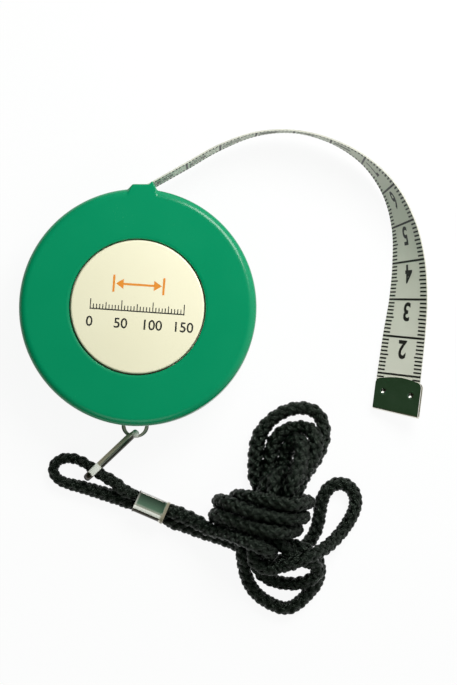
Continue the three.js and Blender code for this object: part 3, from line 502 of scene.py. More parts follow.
def settledLoop(laid):  # strands that touch move apart, no bend is too tight, and the length stays
    start, length = evenRoute(laid, settling["step"])
    line = [place.copy() for place in start]
    count = len(start) - 1
    span = length / count
    held = math.ceil(cord["diameter"] / settling["step"]) + 1
    neighbours = math.ceil(math.pi * settling["tightestBend"] / settling["step"])
    clear = cord["diameter"] + settling["gap"]

    def space(i, j, least, most, share):
        between = line[j] - line[i]
        now = between.length
        if least <= now <= most:
            return
        between *= share * (min(max(now, least), most) - now) / now
        if i >= held:
            line[i] -= between
        if j <= count - held:
            line[j] += between

    def closePairs():
        tree = KDTree(count + 1)
        for i, place in enumerate(line):
            tree.insert(place, i)
        tree.balance()
        pairs = []
        for i, place in enumerate(line):
            near = [found[1] for found in tree.find_range(place, clear + settling["step"])]
            pairs.extend((i, j) for j in sorted(near) if j >= i + neighbours)
        return pairs

    for turn in range(settling["rounds"]):
        ease = 1 if turn < settling["firstRounds"] * settling["rounds"] else settling["lateEase"]
        if turn % 10 == 0:
            pairs = closePairs()
        before = [place.copy() for place in line]
        stiffness = settling["stiffness"] * math.sqrt(ease)
        for i in range(held, count - held + 1):
            home = (start[i] - line[i]) * settling["home"]
            home.z = (start[i].z - line[i].z) * settling["height"] - settling["sag"]
            outer, inner = before[i - 2] + before[i + 2], before[i - 1] + before[i + 1]
            line[i] += home * ease + (inner * 4 - outer - before[i] * 6) * stiffness
        for repeat in range(2):
            for i, j in pairs:
                space(i, j, clear, math.inf, settling["push"])
            for i in range(count):
                space(i, i + 1, span * (1 - settling["stretch"]), span * (1 + settling["stretch"]), settling["pull"])
            for reach in settling["bendReach"]:
                turnShare = min(reach * span / (2 * settling["tightestBend"]), math.pi / 2)
                chord = 2 * settling["tightestBend"] * math.sin(turnShare)
                for i in range(count - reach + 1):
                    space(i, i + reach, chord, math.inf, settling["unbend"])
            for place in line:
                place.z = max(place.z, settling["lowest"])
    return line


neckLoop = [
    ferruleStrand(1, 1, -cord["intoFerrule"]), *settledLoop(laidLoop), ferruleStrand(1, -1, -cord["intoFerrule"]),
]
print("neck loop settled")


def carriedFrames(line):  # a normal carried along the line without twist
    tangents = []
    for i in range(len(line)):
        ahead, behind = line[min(i + 1, len(line) - 1)], line[max(i - 1, 0)]
        tangents.append((ahead - behind).normalized())
    normal = tangents[0].orthogonal().normalized()
    frames = []
    for before, tangent in zip([tangents[0], *tangents], tangents):
        normal = before.rotation_difference(tangent) @ normal
        normal = (normal - tangent * normal.dot(tangent)).normalized()
        frames.append((tangent, normal, tangent.cross(normal)))
    return frames


def braidedCord(name, points, fullAt):
    line, length = evenRoute(points, cord["step"])
    frames = carriedFrames(line)
    last = len(line) - 1
    spots, faces, maps = [], [], []

    def addTube(rings, mapRow):
        count, first, end = len(rings[0]), len(spots), len(rings) - 1
        for ring in rings:
            spots.extend(spot * mm for spot in ring)
        for i in range(end):
            for j in range(count):
                k = (j + 1) % count
                a, b = first + i * count, first + (i + 1) * count
                faces.append((a + j, a + k, b + k, b + j))
                low, high = j / count, (j + 1) / count
                maps.extend([(mapRow(i), low), (mapRow(i), high), (mapRow(i + 1), high), (mapRow(i + 1), low)])
        faces.append(tuple(first + j for j in reversed(range(count))))
        faces.append(tuple(first + end * count + j for j in range(count)))
        maps.extend([(mapRow(0), 0)] * count + [(mapRow(end), 0)] * count)

    radius = cord["outer"] - cord["yarnThick"] - cord["weaveLift"]
    slope = 2 * math.pi * radius / cord["yarnTurn"]
    sectionTurns = [math.radians(t) for t in (0, 60, 120, 180, 270)]  # four points out, one in
    coreTurns = [2 * math.pi * j / cord["coreSides"] for j in range(cord["coreSides"])]
    spacing = length / last

    def sizeAt(i):  # the braid narrows into the ferrule and swells where it is folded in the upper lobe
        spot = line[i]
        packed = within(spot.x, *cord["packedX"]) * within(spot.y, *cord["packedY"])
        held = smoothStep(min(i, last - i) * spacing, *cord["squeezeRun"])
        return mixed(cord["squeeze"], 1, held) * fullAt(spot) * (1 + cord["plump"] * packed)

    sizes = [sizeAt(i) for i in range(last + 1)]
    pairs = cord["yarns"] // 2
    for yarn in range(cord["yarns"]):
        hand = 1 if yarn < pairs else -1
        rings = []
        for i, (tangent, normal, side) in enumerate(frames):
            run = 2 * math.pi * i * spacing / cord["yarnTurn"]
            angle = hand * run + 2 * math.pi * yarn / pairs
            lift = hand * cord["weaveLift"] * math.cos(pairs * run)
            out = normal * math.cos(angle) + side * math.sin(angle)
            turnwise = side * math.cos(angle) - normal * math.sin(angle)
            wide = (tangent + turnwise * hand * slope).normalized().cross(out) * -hand
            centre = line[i] + out * (radius + lift) * sizes[i]
            rings.append([
                centre + (wide * math.cos(t) * cord["yarnWide"] + out * math.sin(t) * cord["yarnThick"]) * sizes[i]
                for t in sectionTurns
            ])
        if hand < 0:
            rings = [list(reversed(ring)) for ring in rings]
        addTube(rings, lambda i: i * spacing / cord["yarnTurn"])
    core = []
    for i in [*range(0, last, cord["coreStep"]), last]:
        tangent, normal, side = frames[i]
        reach = cord["core"] * sizes[i]
        core.append([line[i] + (normal * math.cos(t) + side * math.sin(t)) * reach for t in coreTurns])
    addTube(core, lambda i: 0.0)
    mesh = bpy.data.meshes.new(name)
    mesh.from_pydata(spots, [], faces)
    yarnMap = mesh.uv_layers.new(name="yarn")
    for loop, place in zip(yarnMap.data, maps):
        loop.uv = place
    piece = bpy.data.objects.new(name, mesh)
    scene.collection.objects.link(piece)
    settle(piece, 80)
    return piece, [spot * mm for spot in line], length * mm


def besideFerrule(spot):  # both loops swell where the ferrule holds two strands together
    away = spot - Vector((*ferrule["centre"], spot.z))
    return cord["besideFerrule"] * (1 - smoothStep(away.length, *cord["besideReach"])), away


def smallFull(spot):  # its upper strand and its far bend are pulled thin by the hook
    swell, away = besideFerrule(spot)
    thin = max(
        smoothStep(away.dot(ferruleAcross), *cord["upperFrom"]), smoothStep(away.length, *cord["bendReach"]))
    return mixed(cord["lowerFull"], cord["upperFull"], thin) + swell


def neckFull(spot):
    return cord["neckFull"] + besideFerrule(spot)[0]


smallLoopPiece, smallLine, smallLength = braidedCord("small_loop_braid", smallLoop, smallFull)
neckLoopPiece, neckLine, neckLength = braidedCord("neck_loop_braid", neckLoop, neckFull)
print("cords braided:", round(smallLength, 4), "m and", round(neckLength, 4), "m")


# Materials: colours are screen values from 0 to 255

def toLinear(colour):
    shares = [value / 255 for value in colour]
    return tuple(s / 12.92 if s <= 0.04045 else ((s + 0.055) / 1.055) ** 2.4 for s in shares) + (1.0,)


def setInputs(tree, node, values):  # sockets are linked, plain values are set
    for key, value in values.items():
        if isinstance(value, bpy.types.NodeSocket):
            tree.links.new(value, node.inputs[key])
        else:
            node.inputs[key].default_value = value


def addNode(tree, kind, values=None, **settings):
    node = tree.nodes.new("ShaderNode" + kind)
    for key, value in settings.items():
        setattr(node, key, value)
    setInputs(tree, node, values or {})
    return node


def maths(tree, operation, *values, **settings):
    return addNode(tree, "Math", dict(enumerate(values)), operation=operation, **settings).outputs[0]


def blended(tree, share, first, second):  # a colour between two
    return addNode(tree, "Mix", {"Factor": share, 6: first, 7: second}, data_type="RGBA").outputs[2]


def relief(tree, height, strength, distance):
    return addNode(tree, "Bump", {"Height": height, "Strength": strength, "Distance": distance * mm})


def makeMottleGroup():  # soft patches and fine grain that change colour, gloss and height
    group = bpy.data.node_groups.new("surfaceMottle", "ShaderNodeTree")
    group.interface.new_socket(name="Vector", in_out="INPUT", socket_type="NodeSocketVector")
    for way, labels in (
        ("INPUT", ("Patch Scale", "Grain Scale", "Rough Low", "Rough High")),
        ("OUTPUT", ("Patch", "Roughness", "Height")),
    ):
        for label in labels:
            group.interface.new_socket(name=label, in_out=way, socket_type="NodeSocketFloat")
    given, result = group.nodes.new("NodeGroupInput"), group.nodes.new("NodeGroupOutput")
    patch, grain = (
        addNode(group, "TexNoise", {
            "Vector": given.outputs["Vector"], "Scale": given.outputs[scale], "Detail": detail}).outputs["Fac"]
        for scale, detail in (("Patch Scale", 4.0), ("Grain Scale", 2.0))
    )
    rough = addNode(group, "MapRange", {
        "Value": maths(group, "ADD", patch, grain), "From Min": 0.6, "From Max": 1.4,
        "To Min": given.outputs["Rough Low"], "To Max": given.outputs["Rough High"]})
    setInputs(group, result, {"Patch": patch, "Roughness": rough.outputs["Result"], "Height": grain})
    return group


mottleGroup = makeMottleGroup()


def newMaterial(name):
    material = bpy.data.materials.new(name)
    material.use_nodes = True
    tree = material.node_tree
    return material, tree, tree.nodes["Principled BSDF"]


grains = {
    "plastic": {"patch": 70.0, "grain": 2600.0, "bump": 0.12, "deep": 0.05},
    "felt": {"patch": 70.0, "grain": 5000.0, "bump": 0.8, "deep": 0.05},
    "metal": {"patch": 180.0, "grain": 3200.0, "bump": 0.05, "deep": 0.02},
    "cord": {"patch": 260.0, "grain": 5200.0, "bump": 0.12, "deep": 0.05},
    "cloth": {"patch": 120.0, "grain": 4200.0, "bump": 0.1, "deep": 0.02},
}


def mottled(tree, shader, colours, roughness, kind):
    values = grains[kind]
    place = addNode(tree, "TexCoord")
    mottle = addNode(tree, "Group", {
        "Vector": place.outputs["Object"], "Patch Scale": values["patch"], "Grain Scale": values["grain"],
        "Rough Low": roughness[0], "Rough High": roughness[1]}, node_tree=mottleGroup).outputs
    tint = blended(tree, mottle["Patch"], *map(toLinear, colours))
    grain = relief(tree, mottle["Height"], values["bump"], values["deep"])
    setInputs(tree, shader, {
        "Base Color": tint, "Roughness": mottle["Roughness"], "Normal": grain.outputs["Normal"]})
    return mottle, tint, grain


def plasticMaterial(name, colours, roughness, kind="plastic", shine=0.5):
    material, tree, shader = newMaterial(name)
    mottled(tree, shader, colours, roughness, kind)
    setInputs(tree, shader, {"Specular IOR Level": shine, "IOR": 1.46})
    return material


# Painted light on metal: the dark brown is painted shade, the taupe middle is a painted reflection and the near-white
# end is a painted highlight
metal = {
    "paintedShade": (26, 22, 16), "halfPaintedHighlight": (150, 135, 108), "halfPaintedHighlightAt": 0.3, "paintedHighlight": (252, 250, 244),
    "paintedHighlightRough": 0.55, "paintedHighlightFade": 2.5,
}


def metalMaterial(name, colours, roughness):  # its painted light value goes from -1, painted shade and dark reflection, to 1, painted highlight
    material, tree, shader = newMaterial(name)
    mottle, tint, grain = mottled(tree, shader, colours, roughness, "metal")
    paintedLight = addNode(tree, "Attribute", attribute_name="paintedLight").outputs["Fac"]
    # negative values mix in painted shade; positive values mix in the painted reflection and highlight colours, less
    # metallic and rougher
    dark, paintedHighlight = (maths(tree, "MULTIPLY", paintedLight, sign, use_clamp=True) for sign in (-1.0, 1.0))
    paintedHighlightColour = addNode(tree, "ValToRGB", {"Fac": paintedHighlight})
    stops = paintedHighlightColour.color_ramp.elements
    stops[0].color, stops[1].color = toLinear(colours[1]), toLinear(metal["paintedHighlight"])
    stops.new(metal["halfPaintedHighlightAt"]).color = toLinear(metal["halfPaintedHighlight"])
    plain = maths(tree, "MULTIPLY", paintedHighlight, metal["paintedHighlightFade"], use_clamp=True)
    paintedShade = blended(tree, dark, tint, toLinear(metal["paintedShade"]))
    rough = addNode(tree, "Mix", {"Factor": paintedHighlight, 2: mottle["Roughness"], 3: metal["paintedHighlightRough"]})
    setInputs(tree, shader, {
        "Base Color": blended(tree, plain, paintedShade, paintedHighlightColour.outputs[0]), "Roughness": rough.outputs[0],
        "Metallic": maths(tree, "SUBTRACT", 1.0, plain)})
    return material


# stores each vertex's painted shade or painted highlight, from -1 to 1
def setTone(piece, toneAt):
    paintedLights = piece.data.attributes.new("paintedLight", "FLOAT", "POINT")
    for vertex in piece.data.vertices:
        paintedLights.data[vertex.index].value = toneAt(vertex.co / mm)


def wavesAlong(tree, direction, values):
    return addNode(tree, "TexWave", values, bands_direction=direction).outputs["Fac"]


def cordMaterial():  # dull black yarn: filaments along each yarn, paler where it is brushed
    material, tree, shader = newMaterial("cord_black_yarn")
    mottle, tint, grain = mottled(tree, shader, ((1, 2, 1), (10, 13, 10)), (0.22, 0.38), "cord")
    yarn = addNode(tree, "UVMap", uv_map="yarn")
    spread = addNode(tree, "Mapping", {"Vector": yarn.outputs["UV"], "Scale": (6.0, 16.0, 1.0)})
    filament = wavesAlong(tree, "Y", {
        "Vector": spread.outputs["Vector"], "Scale": 1.0, "Distortion": 3.0, "Detail": 1.0, "Detail Scale": 1.5})
    setInputs(tree, grain, {"Normal": relief(tree, filament, 0.5, 0.06).outputs["Normal"]})
    setInputs(tree, tint.node, {"Factor": maths(tree, "MULTIPLY", filament, mottle["Patch"])})
    setInputs(tree, shader, {"Specular IOR Level": 0.34, "Specular Tint": (0.8, 1.0, 0.8, 1.0)})
    return material


def clothMaterial(name, colours):  # coated cloth: a fine plain weave under a thin satin coat
    material, tree, shader = newMaterial(name)
    mottle, tint, grain = mottled(tree, shader, colours, (0.42, 0.6), "cloth")
    flat = addNode(tree, "UVMap", uv_map="flat").outputs["UV"]
    waves = [wavesAlong(tree, way, {"Vector": flat, "Scale": 0.55, "Distortion": 0.6}) for way in ("X", "Y")]
    weave = relief(tree, maths(tree, "MULTIPLY", *waves), 0.25, 0.03)
    setInputs(tree, grain, {"Normal": weave.outputs["Normal"]})
    return material


materials = {
    "case": plasticMaterial("case_green_plastic", ((0, 138, 92), (0, 144, 97)), (0.16, 0.28), shine=0.35),
    "button": plasticMaterial("button_cream_plastic", ((247, 238, 208), (250, 242, 214)), (0.3, 0.42)),
    "orangeInk": plasticMaterial("orange_ink", ((232, 138, 36), (240, 150, 46)), (0.4, 0.55)),
    "darkInk": plasticMaterial("dark_ink", ((30, 27, 24), (42, 38, 34)), (0.4, 0.55)),
    "tapeInk": plasticMaterial("tape_ink", ((20, 16, 14), (34, 28, 24)), (0.45, 0.6)),
    "tape": clothMaterial("tape_cloth_print", ((203, 200, 187), (217, 215, 203))),
    "cord": cordMaterial(),
    "nickel": metalMaterial("nickel_plate", ((218, 216, 206), (230, 228, 218)), (0.1, 0.2)),
    "steel": metalMaterial("spring_steel", ((120, 122, 126), (150, 152, 156)), (0.25, 0.4)),
    "reel": plasticMaterial("reel_white_plastic", ((226, 224, 216), (234, 232, 226)), (0.4, 0.55)),
    "felt": plasticMaterial("brake_felt", ((60, 60, 58), (92, 92, 88)), (0.85, 0.98), kind="felt"),
}
print("materials ready:", len(materials))

dress(smallLoopPiece, "cord", "lanyard", "cord_black", "cord_small_loop")
dress(neckLoopPiece, "cord", "lanyard", "cord_black", "cord_lead", "cord_hank", "cord_free_loop")
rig.cord(
    smallLoopPiece, exit=smallLine[0], length=0.051, diameter=cord["diameter"] * mm, far_end="object",
    stiffness="limp", lay="loose", path=smallLine,
)
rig.cord(
    neckLoopPiece, exit=neckLine[0], length=0.639, diameter=cord["diameter"] * mm, far_end="object",
    stiffness="limp", lay="loose", path=neckLine,
)


# Case: two moulded shells that meet at a seam, with the mouth on their rim

case = {
    "radius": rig.box("rear_shell")[1].x / mm, "height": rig.box("front_shell")[1].z / mm, "inner": 28.9,
    "seam": 6.0, "gap": 0.3, "frontEdge": 2.0, "rearEdge": 1.5, "seamEdge": 0.25, "hole": 17.45,
    "holeChamfer": 0.5, "holeFace": (0.4, 0.15), "faceInner": 15.9, "rearWall": 1.6,
    "tongueOuter": 29.5, "tongueHeight": 1.2,
    "boss": 5.6, "socket": 3.9, "bossTop": 2.9, "gateRadius": 2.0, "gateFloor": 1.5,
    "gateDepth": 0.2, "faceInset": 0.3,
    "nozzleEdge": 0.4, "nozzleRise": 1.05, "flatStart": -1.3, "flank": 2.2, "flankDeep": 0.8,
    "lip": 0.05, "lipRun": 0.6, "heel": 3.95, "roundOff": 0.45, "smooth": 28, "axis": 0.001,
}
exitLine = {
    "angle": 29.5, "offset": 26.408, "mouth": 19.21, "slotRun": 8.95, "slotPast": 4, "slotWide": 0.95,
    "slotTall": 12.6, "slotMiddle": 8.75,
}
exitTurn = math.radians(exitLine["angle"])
bail = {
    "centre": -1.05, "halfWidth": 3.55, "reach": 3.1, "strip": 0.6, "height": 2.0, "inset": 0.55,
    "sideWide": 0.45, "clear": 0.3, "legRun": 7, "corner": 0.35,
}


def onExit(along, offset):
    return Vector((
        along * math.cos(exitTurn) - offset * math.sin(exitTurn),
        along * math.sin(exitTurn) + offset * math.cos(exitTurn)))


mouth = onExit(exitLine["mouth"], exitLine["offset"])
nozzleTop = case["radius"] + case["nozzleRise"]
nozzleTip = onExit(exitLine["mouth"], exitLine["offset"] + case["lip"])
nozzleOutline = [
    Vector((case["flatStart"] - case["flank"], case["radius"] - case["flankDeep"])),
    Vector((case["flatStart"], nozzleTop)), Vector((nozzleTip.x - case["lipRun"], nozzleTop)), nozzleTip,
    onExit(exitLine["mouth"], exitLine["offset"] - case["heel"]),
]


def sharpOutline(angle):  # distance from the axis to the rim or to the mouth block, whichever is further
    ray = Vector((math.cos(angle), math.sin(angle)))
    reach = case["radius"]
    for a, b in zip(nozzleOutline, nozzleOutline[1:]):
        edge = b - a
        spread = ray.x * edge.y - ray.y * edge.x
        if abs(spread) > 1e-9:
            share = (ray.y * a.x - ray.x * a.y) / spread
            if 0 <= share <= 1:
                reach = max(reach, ray.dot(a + edge * share))
    return reach


def outline(angle):  # the same with its corners eased
    window = math.radians(case["roundOff"])
    return sum(sharpOutline(angle + window * k / 4) for k in range(-4, 5)) / 9


rimDegrees = [*range(-258, 77, 2), *(76 + 0.3 * i for i in range(1, 87))]  # closer together at the mouth
rimAngles = [math.radians(degrees) for degrees in rimDegrees]
outlineAt = {round(angle % (2 * math.pi), 5): outline(angle) for angle in rimAngles}


def moveRing(piece, place):  # puts the selected ring where place(outline) says
    mesh = bmesh.from_edit_mesh(piece.data)
    for vertex in mesh.verts:
        if vertex.select:
            angle = math.atan2(vertex.co.y, vertex.co.x)
            nearest = min(outlineAt, key=lambda known: abs(known - angle % (2 * math.pi)))
            radius, height = place(outlineAt[nearest])
            vertex.co = Vector((math.cos(angle) * radius, math.sin(angle) * radius, height)) * mm
    bmesh.update_edit_mesh(piece.data)


def onOutline(inset, height):
    return lambda reach: (reach - inset, height)


def onCircle(radius, height):
    return lambda reach: (radius, height)


def edgeSize(reach, wide):  # the mouth block has a tighter edge than the rim
    share = min((reach - case["radius"]) / case["nozzleRise"], 1)
    return mixed(wide, case["nozzleEdge"], share)


def frontFaceRing(reach):  # flat face just inside the edge
    return reach - edgeSize(reach, case["frontEdge"]) - case["faceInset"], case["height"]


def edgeRings(wide, front):  # rings round the rounded edge of the front or the rear face
    def ring(turn):
        def place(reach):
            size = edgeSize(reach, wide)
            drop = size * (1 - math.sin(turn))
            return reach - size * (1 - math.cos(turn)), case["height"] - drop if front else drop
        return place
    return [ring(math.radians(90 * i / 8)) for i in range(9)]


def boxCutter(middle, size, turn=0):
    return placeInMesh(added(
        "cutter", bpy.ops.mesh.primitive_cube_add, size=1, location=[place * mm for place in middle],
        rotation=(0, 0, turn), scale=[side * mm for side in size]))


def shellCutters():  # the slot that the tape leaves by and the two notches for the bail's legs
    start, end = exitLine["mouth"] - exitLine["slotRun"], exitLine["mouth"] + exitLine["slotPast"]
    slot = onExit((start + end) / 2, exitLine["offset"])
    yield boxCutter(
        (slot.x, slot.y, exitLine["slotMiddle"]), (end - start, exitLine["slotWide"], exitLine["slotTall"]), exitTurn)
    for side in (-1, 1):
        leg = bail["centre"] + side * (bail["halfWidth"] - bail["strip"] / 2)
        yield boxCutter(
            (leg, 1 - case["radius"], case["seam"]),
            (bail["strip"] + 2 * bail["clear"], bail["legRun"], bail["height"] + 2 * bail["clear"]))


def mouldedShell(name, rings):
    piece = added(name, bpy.ops.mesh.primitive_circle_add, vertices=len(rimAngles), radius=case["radius"] * mm)
    for vertex, angle in zip(piece.data.vertices, rimAngles):
        vertex.co = Vector((math.cos(angle), math.sin(angle), 0)) * case["radius"] * mm
    editAll(piece)
    moveRing(piece, rings[0])
    for ring in rings[1:]:
        bpy.ops.mesh.extrude_edges_move()
        moveRing(piece, ring)
    settle(piece, case["smooth"])
    for cutter in shellCutters():
        cutWith(piece, cutter)
    settle(piece, case["smooth"], outwards=False)
    return piece


def frontRings():
    low = case["seam"] + case["gap"]
    rebate = case["tongueOuter"] + case["gap"]
    rebateTop = low + case["tongueHeight"]
    top, hole, chamfer, inside = case["height"], case["hole"], case["holeChamfer"], case["faceInner"]
    return [
        onCircle(rebate, low), onOutline(case["seamEdge"], low), onOutline(0, low + case["seamEdge"]),
        *edgeRings(case["frontEdge"], True), frontFaceRing,
        *(onCircle(hole + chamfer + beyond, top) for beyond in case["holeFace"]),
        onCircle(hole + chamfer * 0.3, top - chamfer * 0.3), onCircle(hole, top - chamfer), onCircle(hole, inside),
        onCircle(case["inner"], inside), onCircle(case["inner"], rebateTop),
        onCircle(rebate, rebateTop), onCircle(rebate, low),
    ]


def rearRings():
    seam, wall = case["seam"], case["rearWall"]
    tongue, tongueTop = case["tongueOuter"], seam + case["tongueHeight"]
    return [
        onCircle(case["axis"], case["gateDepth"]), onCircle(case["gateFloor"], case["gateDepth"]),
        onCircle(case["gateRadius"], 0),
        *reversed(edgeRings(case["rearEdge"], False)),
        onOutline(0, seam - case["seamEdge"]), onOutline(case["seamEdge"], seam),
        onCircle(tongue, seam), onCircle(tongue, tongueTop), onCircle(case["inner"], tongueTop),
        onCircle(case["inner"], wall), onCircle(case["boss"], wall), onCircle(case["boss"], case["bossTop"]),
        onCircle(case["socket"], case["bossTop"]), onCircle(case["socket"], wall), onCircle(case["axis"], wall),
    ]


frontPiece = mouldedShell("front_case_shell", frontRings())
dress(frontPiece, "case", "case", "case_green", "front_shell")
rearPiece = mouldedShell("rear_case_shell", rearRings())
dress(rearPiece, "case", "case", "case_green", "rear_shell")
print("case shells moulded")


# Button: a cream cap with a foot flange and a six-sided stem, and its print

button = {
    "radius": 17.1, "top": 17.9, "under": 16.4, "edge": 0.5, "skirt": 1.4, "flange": 19.6, "flangeLow": 12.9,
    "flangeTop": 13.9, "stem": 2.2, "stemLow": 7.0, "stemTop": 17.1, "stemEdge": 0.25, "printLift": 0.012,
}


def buttonCap():
    radius, top, under, edge = (button[key] for key in ("radius", "top", "under", "edge"))
    flange, flangeLow, flangeTop = button["flange"], button["flangeLow"], button["flangeTop"]
    inner = radius - button["skirt"]
    cap = spinProfile("button_cap_moulding", [
        (0, under), (inner, under), (inner, flangeLow), (flange, flangeLow), (flange, flangeTop),
        (radius, flangeTop), *arcPoints(radius - edge, top - edge, edge, 0, 6), (0, top),
    ], 144)
    settle(cap, 28)
    tall = button["stemTop"] - button["stemLow"]
    stem = placeInMesh(added(
        "stem", bpy.ops.mesh.primitive_cylinder_add, vertices=6, radius=button["stem"] * mm, depth=tall * mm,
        location=(0, 0, (button["stemLow"] + tall / 2) * mm), rotation=(0, 0, math.radians(30))))
    editAll(stem)
    bpy.ops.mesh.bevel(offset=button["stemEdge"] * mm, segments=2)
    endEdit()
    cutWith(cap, stem, "UNION")
    settle(cap, 28, outwards=False)
    return cap


dress(buttonCap(), "button", "button", "button_cream", "button_cap")

buttonPrint = {
    "turn": -4.0, "arrowY": 5.6, "arrowHalf": 6.4, "headGap": 0.5, "arrowHead": 2.0, "arrowTall": 2.6,
    "barTall": 4.4, "line": 0.55, "scaleY": -1.2, "scaleHalf": 12.0, "scaleLine": 0.32, "tickWide": 0.256,
    "ticks": 30, "tickTall": (1.1, 1.7, 2.4), "figures": ("0", "50", "100", "150"), "figureTall": 2.5,
    "figureY": -4.6, "figureBold": 0.012,
}


def flatBar(wide, tall, x, y):
    piece = added("bar", bpy.ops.mesh.primitive_plane_add, size=1, location=(x * mm, y * mm, 0))
    piece.scale = (wide * mm, tall * mm, 1)
    return placeInMesh(piece)


def flatHead(side, tip):
    back, tall, y = tip - side * buttonPrint["arrowHead"], buttonPrint["arrowTall"] / 2, buttonPrint["arrowY"]
    piece = added("head", bpy.ops.mesh.primitive_circle_add, vertices=3, radius=mm, fill_type="NGON")
    for vertex, corner in zip(piece.data.vertices, [(tip, y, 0), (back, y + tall, 0), (back, y - tall, 0)]):
        vertex.co = Vector(corner) * mm
    return piece


def flatText(words, tall, x, y, bold, narrow=1.0, turn=0.0):
    letters = added("letters", bpy.ops.object.text_add).data
    letters.body = words
    letters.align_x = letters.align_y = "CENTER"
    letters.resolution_u = 6
    letters.size = tall / 0.69 * mm  # a figure is 0.69 of its size tall
    letters.offset = bold * letters.size
    bpy.ops.object.convert(target="MESH")
    piece = newPiece("figures")
    piece.scale.x = narrow
    piece.rotation_euler.z = math.radians(turn)
    piece.location = (x * mm, y * mm, 0)
    return placeInMesh(piece)


def faceUp(piece):  # flat shapes that all look the same way
    editAll(piece)
    mesh = bmesh.from_edit_mesh(piece.data)
    bmesh.ops.remove_doubles(mesh, verts=mesh.verts, dist=mergeWithin["print"] * mm)
    bmesh.ops.reverse_faces(mesh, faces=[face for face in mesh.faces if face.normal.z < 0])
    bmesh.update_edit_mesh(piece.data)
    endEdit()


def printOnButton(name, pieces, ink):
    piece = joinPieces(name, pieces)
    faceUp(piece)
    piece.rotation_euler.z = math.radians(buttonPrint["turn"])
    piece.location.z = (button["top"] + button["printLift"]) * mm
    dress(placeInMesh(piece), ink, "button", "button_cream")


def orangeArrow():
    half, y = buttonPrint["arrowHalf"], buttonPrint["arrowY"]
    tip = half - buttonPrint["headGap"]
    pieces = [flatBar(2 * (tip - buttonPrint["arrowHead"]), buttonPrint["line"], 0, y)]
    for side in (-1, 1):
        pieces.append(flatHead(side, side * tip))
        pieces.append(flatBar(buttonPrint["line"], buttonPrint["barTall"], side * half, y))
    printOnButton("button_arrow_print", pieces, "orangeInk")


def darkScale():
    half, y, line = buttonPrint["scaleHalf"], buttonPrint["scaleY"], buttonPrint["scaleLine"]
    figures, ticks = buttonPrint["figures"], buttonPrint["ticks"]
    pieces = [flatBar(2 * half + line, line, 0, y)]
    for i in range(ticks + 1):
        tall = buttonPrint["tickTall"][2 if i % 10 == 0 else 1 if i % 5 == 0 else 0]
        pieces.append(flatBar(buttonPrint["tickWide"], tall, half * (2 * i / ticks - 1), y + (line + tall) / 2))
    for i, figure in enumerate(figures):
        x = half * (2 * i / (len(figures) - 1) - 1)
        pieces.append(
            flatText(figure, buttonPrint["figureTall"], x, buttonPrint["figureY"], buttonPrint["figureBold"]))
    printOnButton("button_scale_print", pieces, "darkInk")


orangeArrow()
darkScale()
print("button printed")


# Tape: a printed ribbon on edge out of the mouth, bowed round and leaning over to its clip

tape = {
    "width": 12.0, "thick": 0.35, "low": 2.75, "tipRun": 10.0, "tipSteps": 5, "perSpan": 10, "rows": 6,
    "insideFrom": 0.5, "insideTo": 18.21, "insideSteps": 7,
    "inkLift": 0.03, "lineWide": 0.54, "tickWide": 0.44, "tickInset": 0.02, "lineInset": 0.03,
    "ticks": {1: (1.9, 2.3), -1: (2.1, 2.4)},
    "figureTall": 4.6, "figureGap": 0.7, "figureNarrow": 0.72, "figureBold": 0.026,
    "centimetre": 10, "lastMark": 14, "sliceFrom": 8, "sliceStep": 0.7, "sliceRows": (-5, 1, 11),
}
tapeStations = [
    (8.4, 4.75, 2.75, 0), (17.3, 9.73, 3.1, -1), (27.2, 13.23, 3.7, -4), (37.1, 13.73, 3.9, -6),
    (46.9, 11.13, 3.6, -4), (55.4, 6.13, 2.4, 2), (61.8, -1.17, 1, 13), (65.5, -10.17, 0.4, 25),
    (66.9, -19.87, 0.3, 39), (66.8, -29.77, 0.4, 50), (65.7, -39.57, 0.8, 61), (64.4, -49.57, 1.2, 67),
]


def tapeFrame(place, along, lean):
    out = Vector((-along.y, along.x, 0)).normalized()
    across = Vector((0, 0, math.cos(lean))) + out * math.sin(lean)
    return place, along.normalized(), across, along.normalized().cross(across)


def tapeFrames():
    half, steps = tape["width"] / 2, tape["insideSteps"]
    straight = Vector((math.cos(exitTurn), math.sin(exitTurn), 0))
    frames = []
    for i in range(steps + 1):
        spot = onExit(mixed(tape["insideFrom"], tape["insideTo"], i / steps), exitLine["offset"])
        frames.append(tapeFrame(Vector((spot.x, spot.y, tape["low"] + half)), straight, 0))
    path = [Vector((0, 0, 0))] + [Vector((x, y, 0)) for x, y, low, lean in tapeStations]
    leans = [Vector((tape["low"], 0, 0))] + [Vector((low, lean, 0)) for x, y, low, lean in tapeStations]
    count = len(tapeStations) * tape["perSpan"]
    for i in range(count + 1):
        t = i / count
        spot, rise = onRoute(path, t), onRoute(leans, t)
        ahead = onRoute(path, min(t + 0.001, 1)) - onRoute(path, max(t - 0.001, 0))
        lean = math.radians(rise.y)
        height = rise.x + half * math.cos(lean)
        frames.append(tapeFrame(Vector((mouth.x + spot.x, mouth.y + spot.y, height)), ahead, lean))
    place, along, across, face = frames[-1]
    for i in range(1, tape["tipSteps"] + 1):
        frames.append((place + along * tape["tipRun"] * i / tape["tipSteps"], along, across, face))
    return frames


bladeFrames = tapeFrames()
tipPlace, tipAlong, tipAcross, tipFace = bladeFrames[-1]
fromTip = [0.0]
for after, before in zip(reversed(bladeFrames), reversed(bladeFrames[:-1])):
    fromTip.append(fromTip[-1] + (after[0] - before[0]).length)
fromTip.reverse()
tapeLength = fromTip[0]


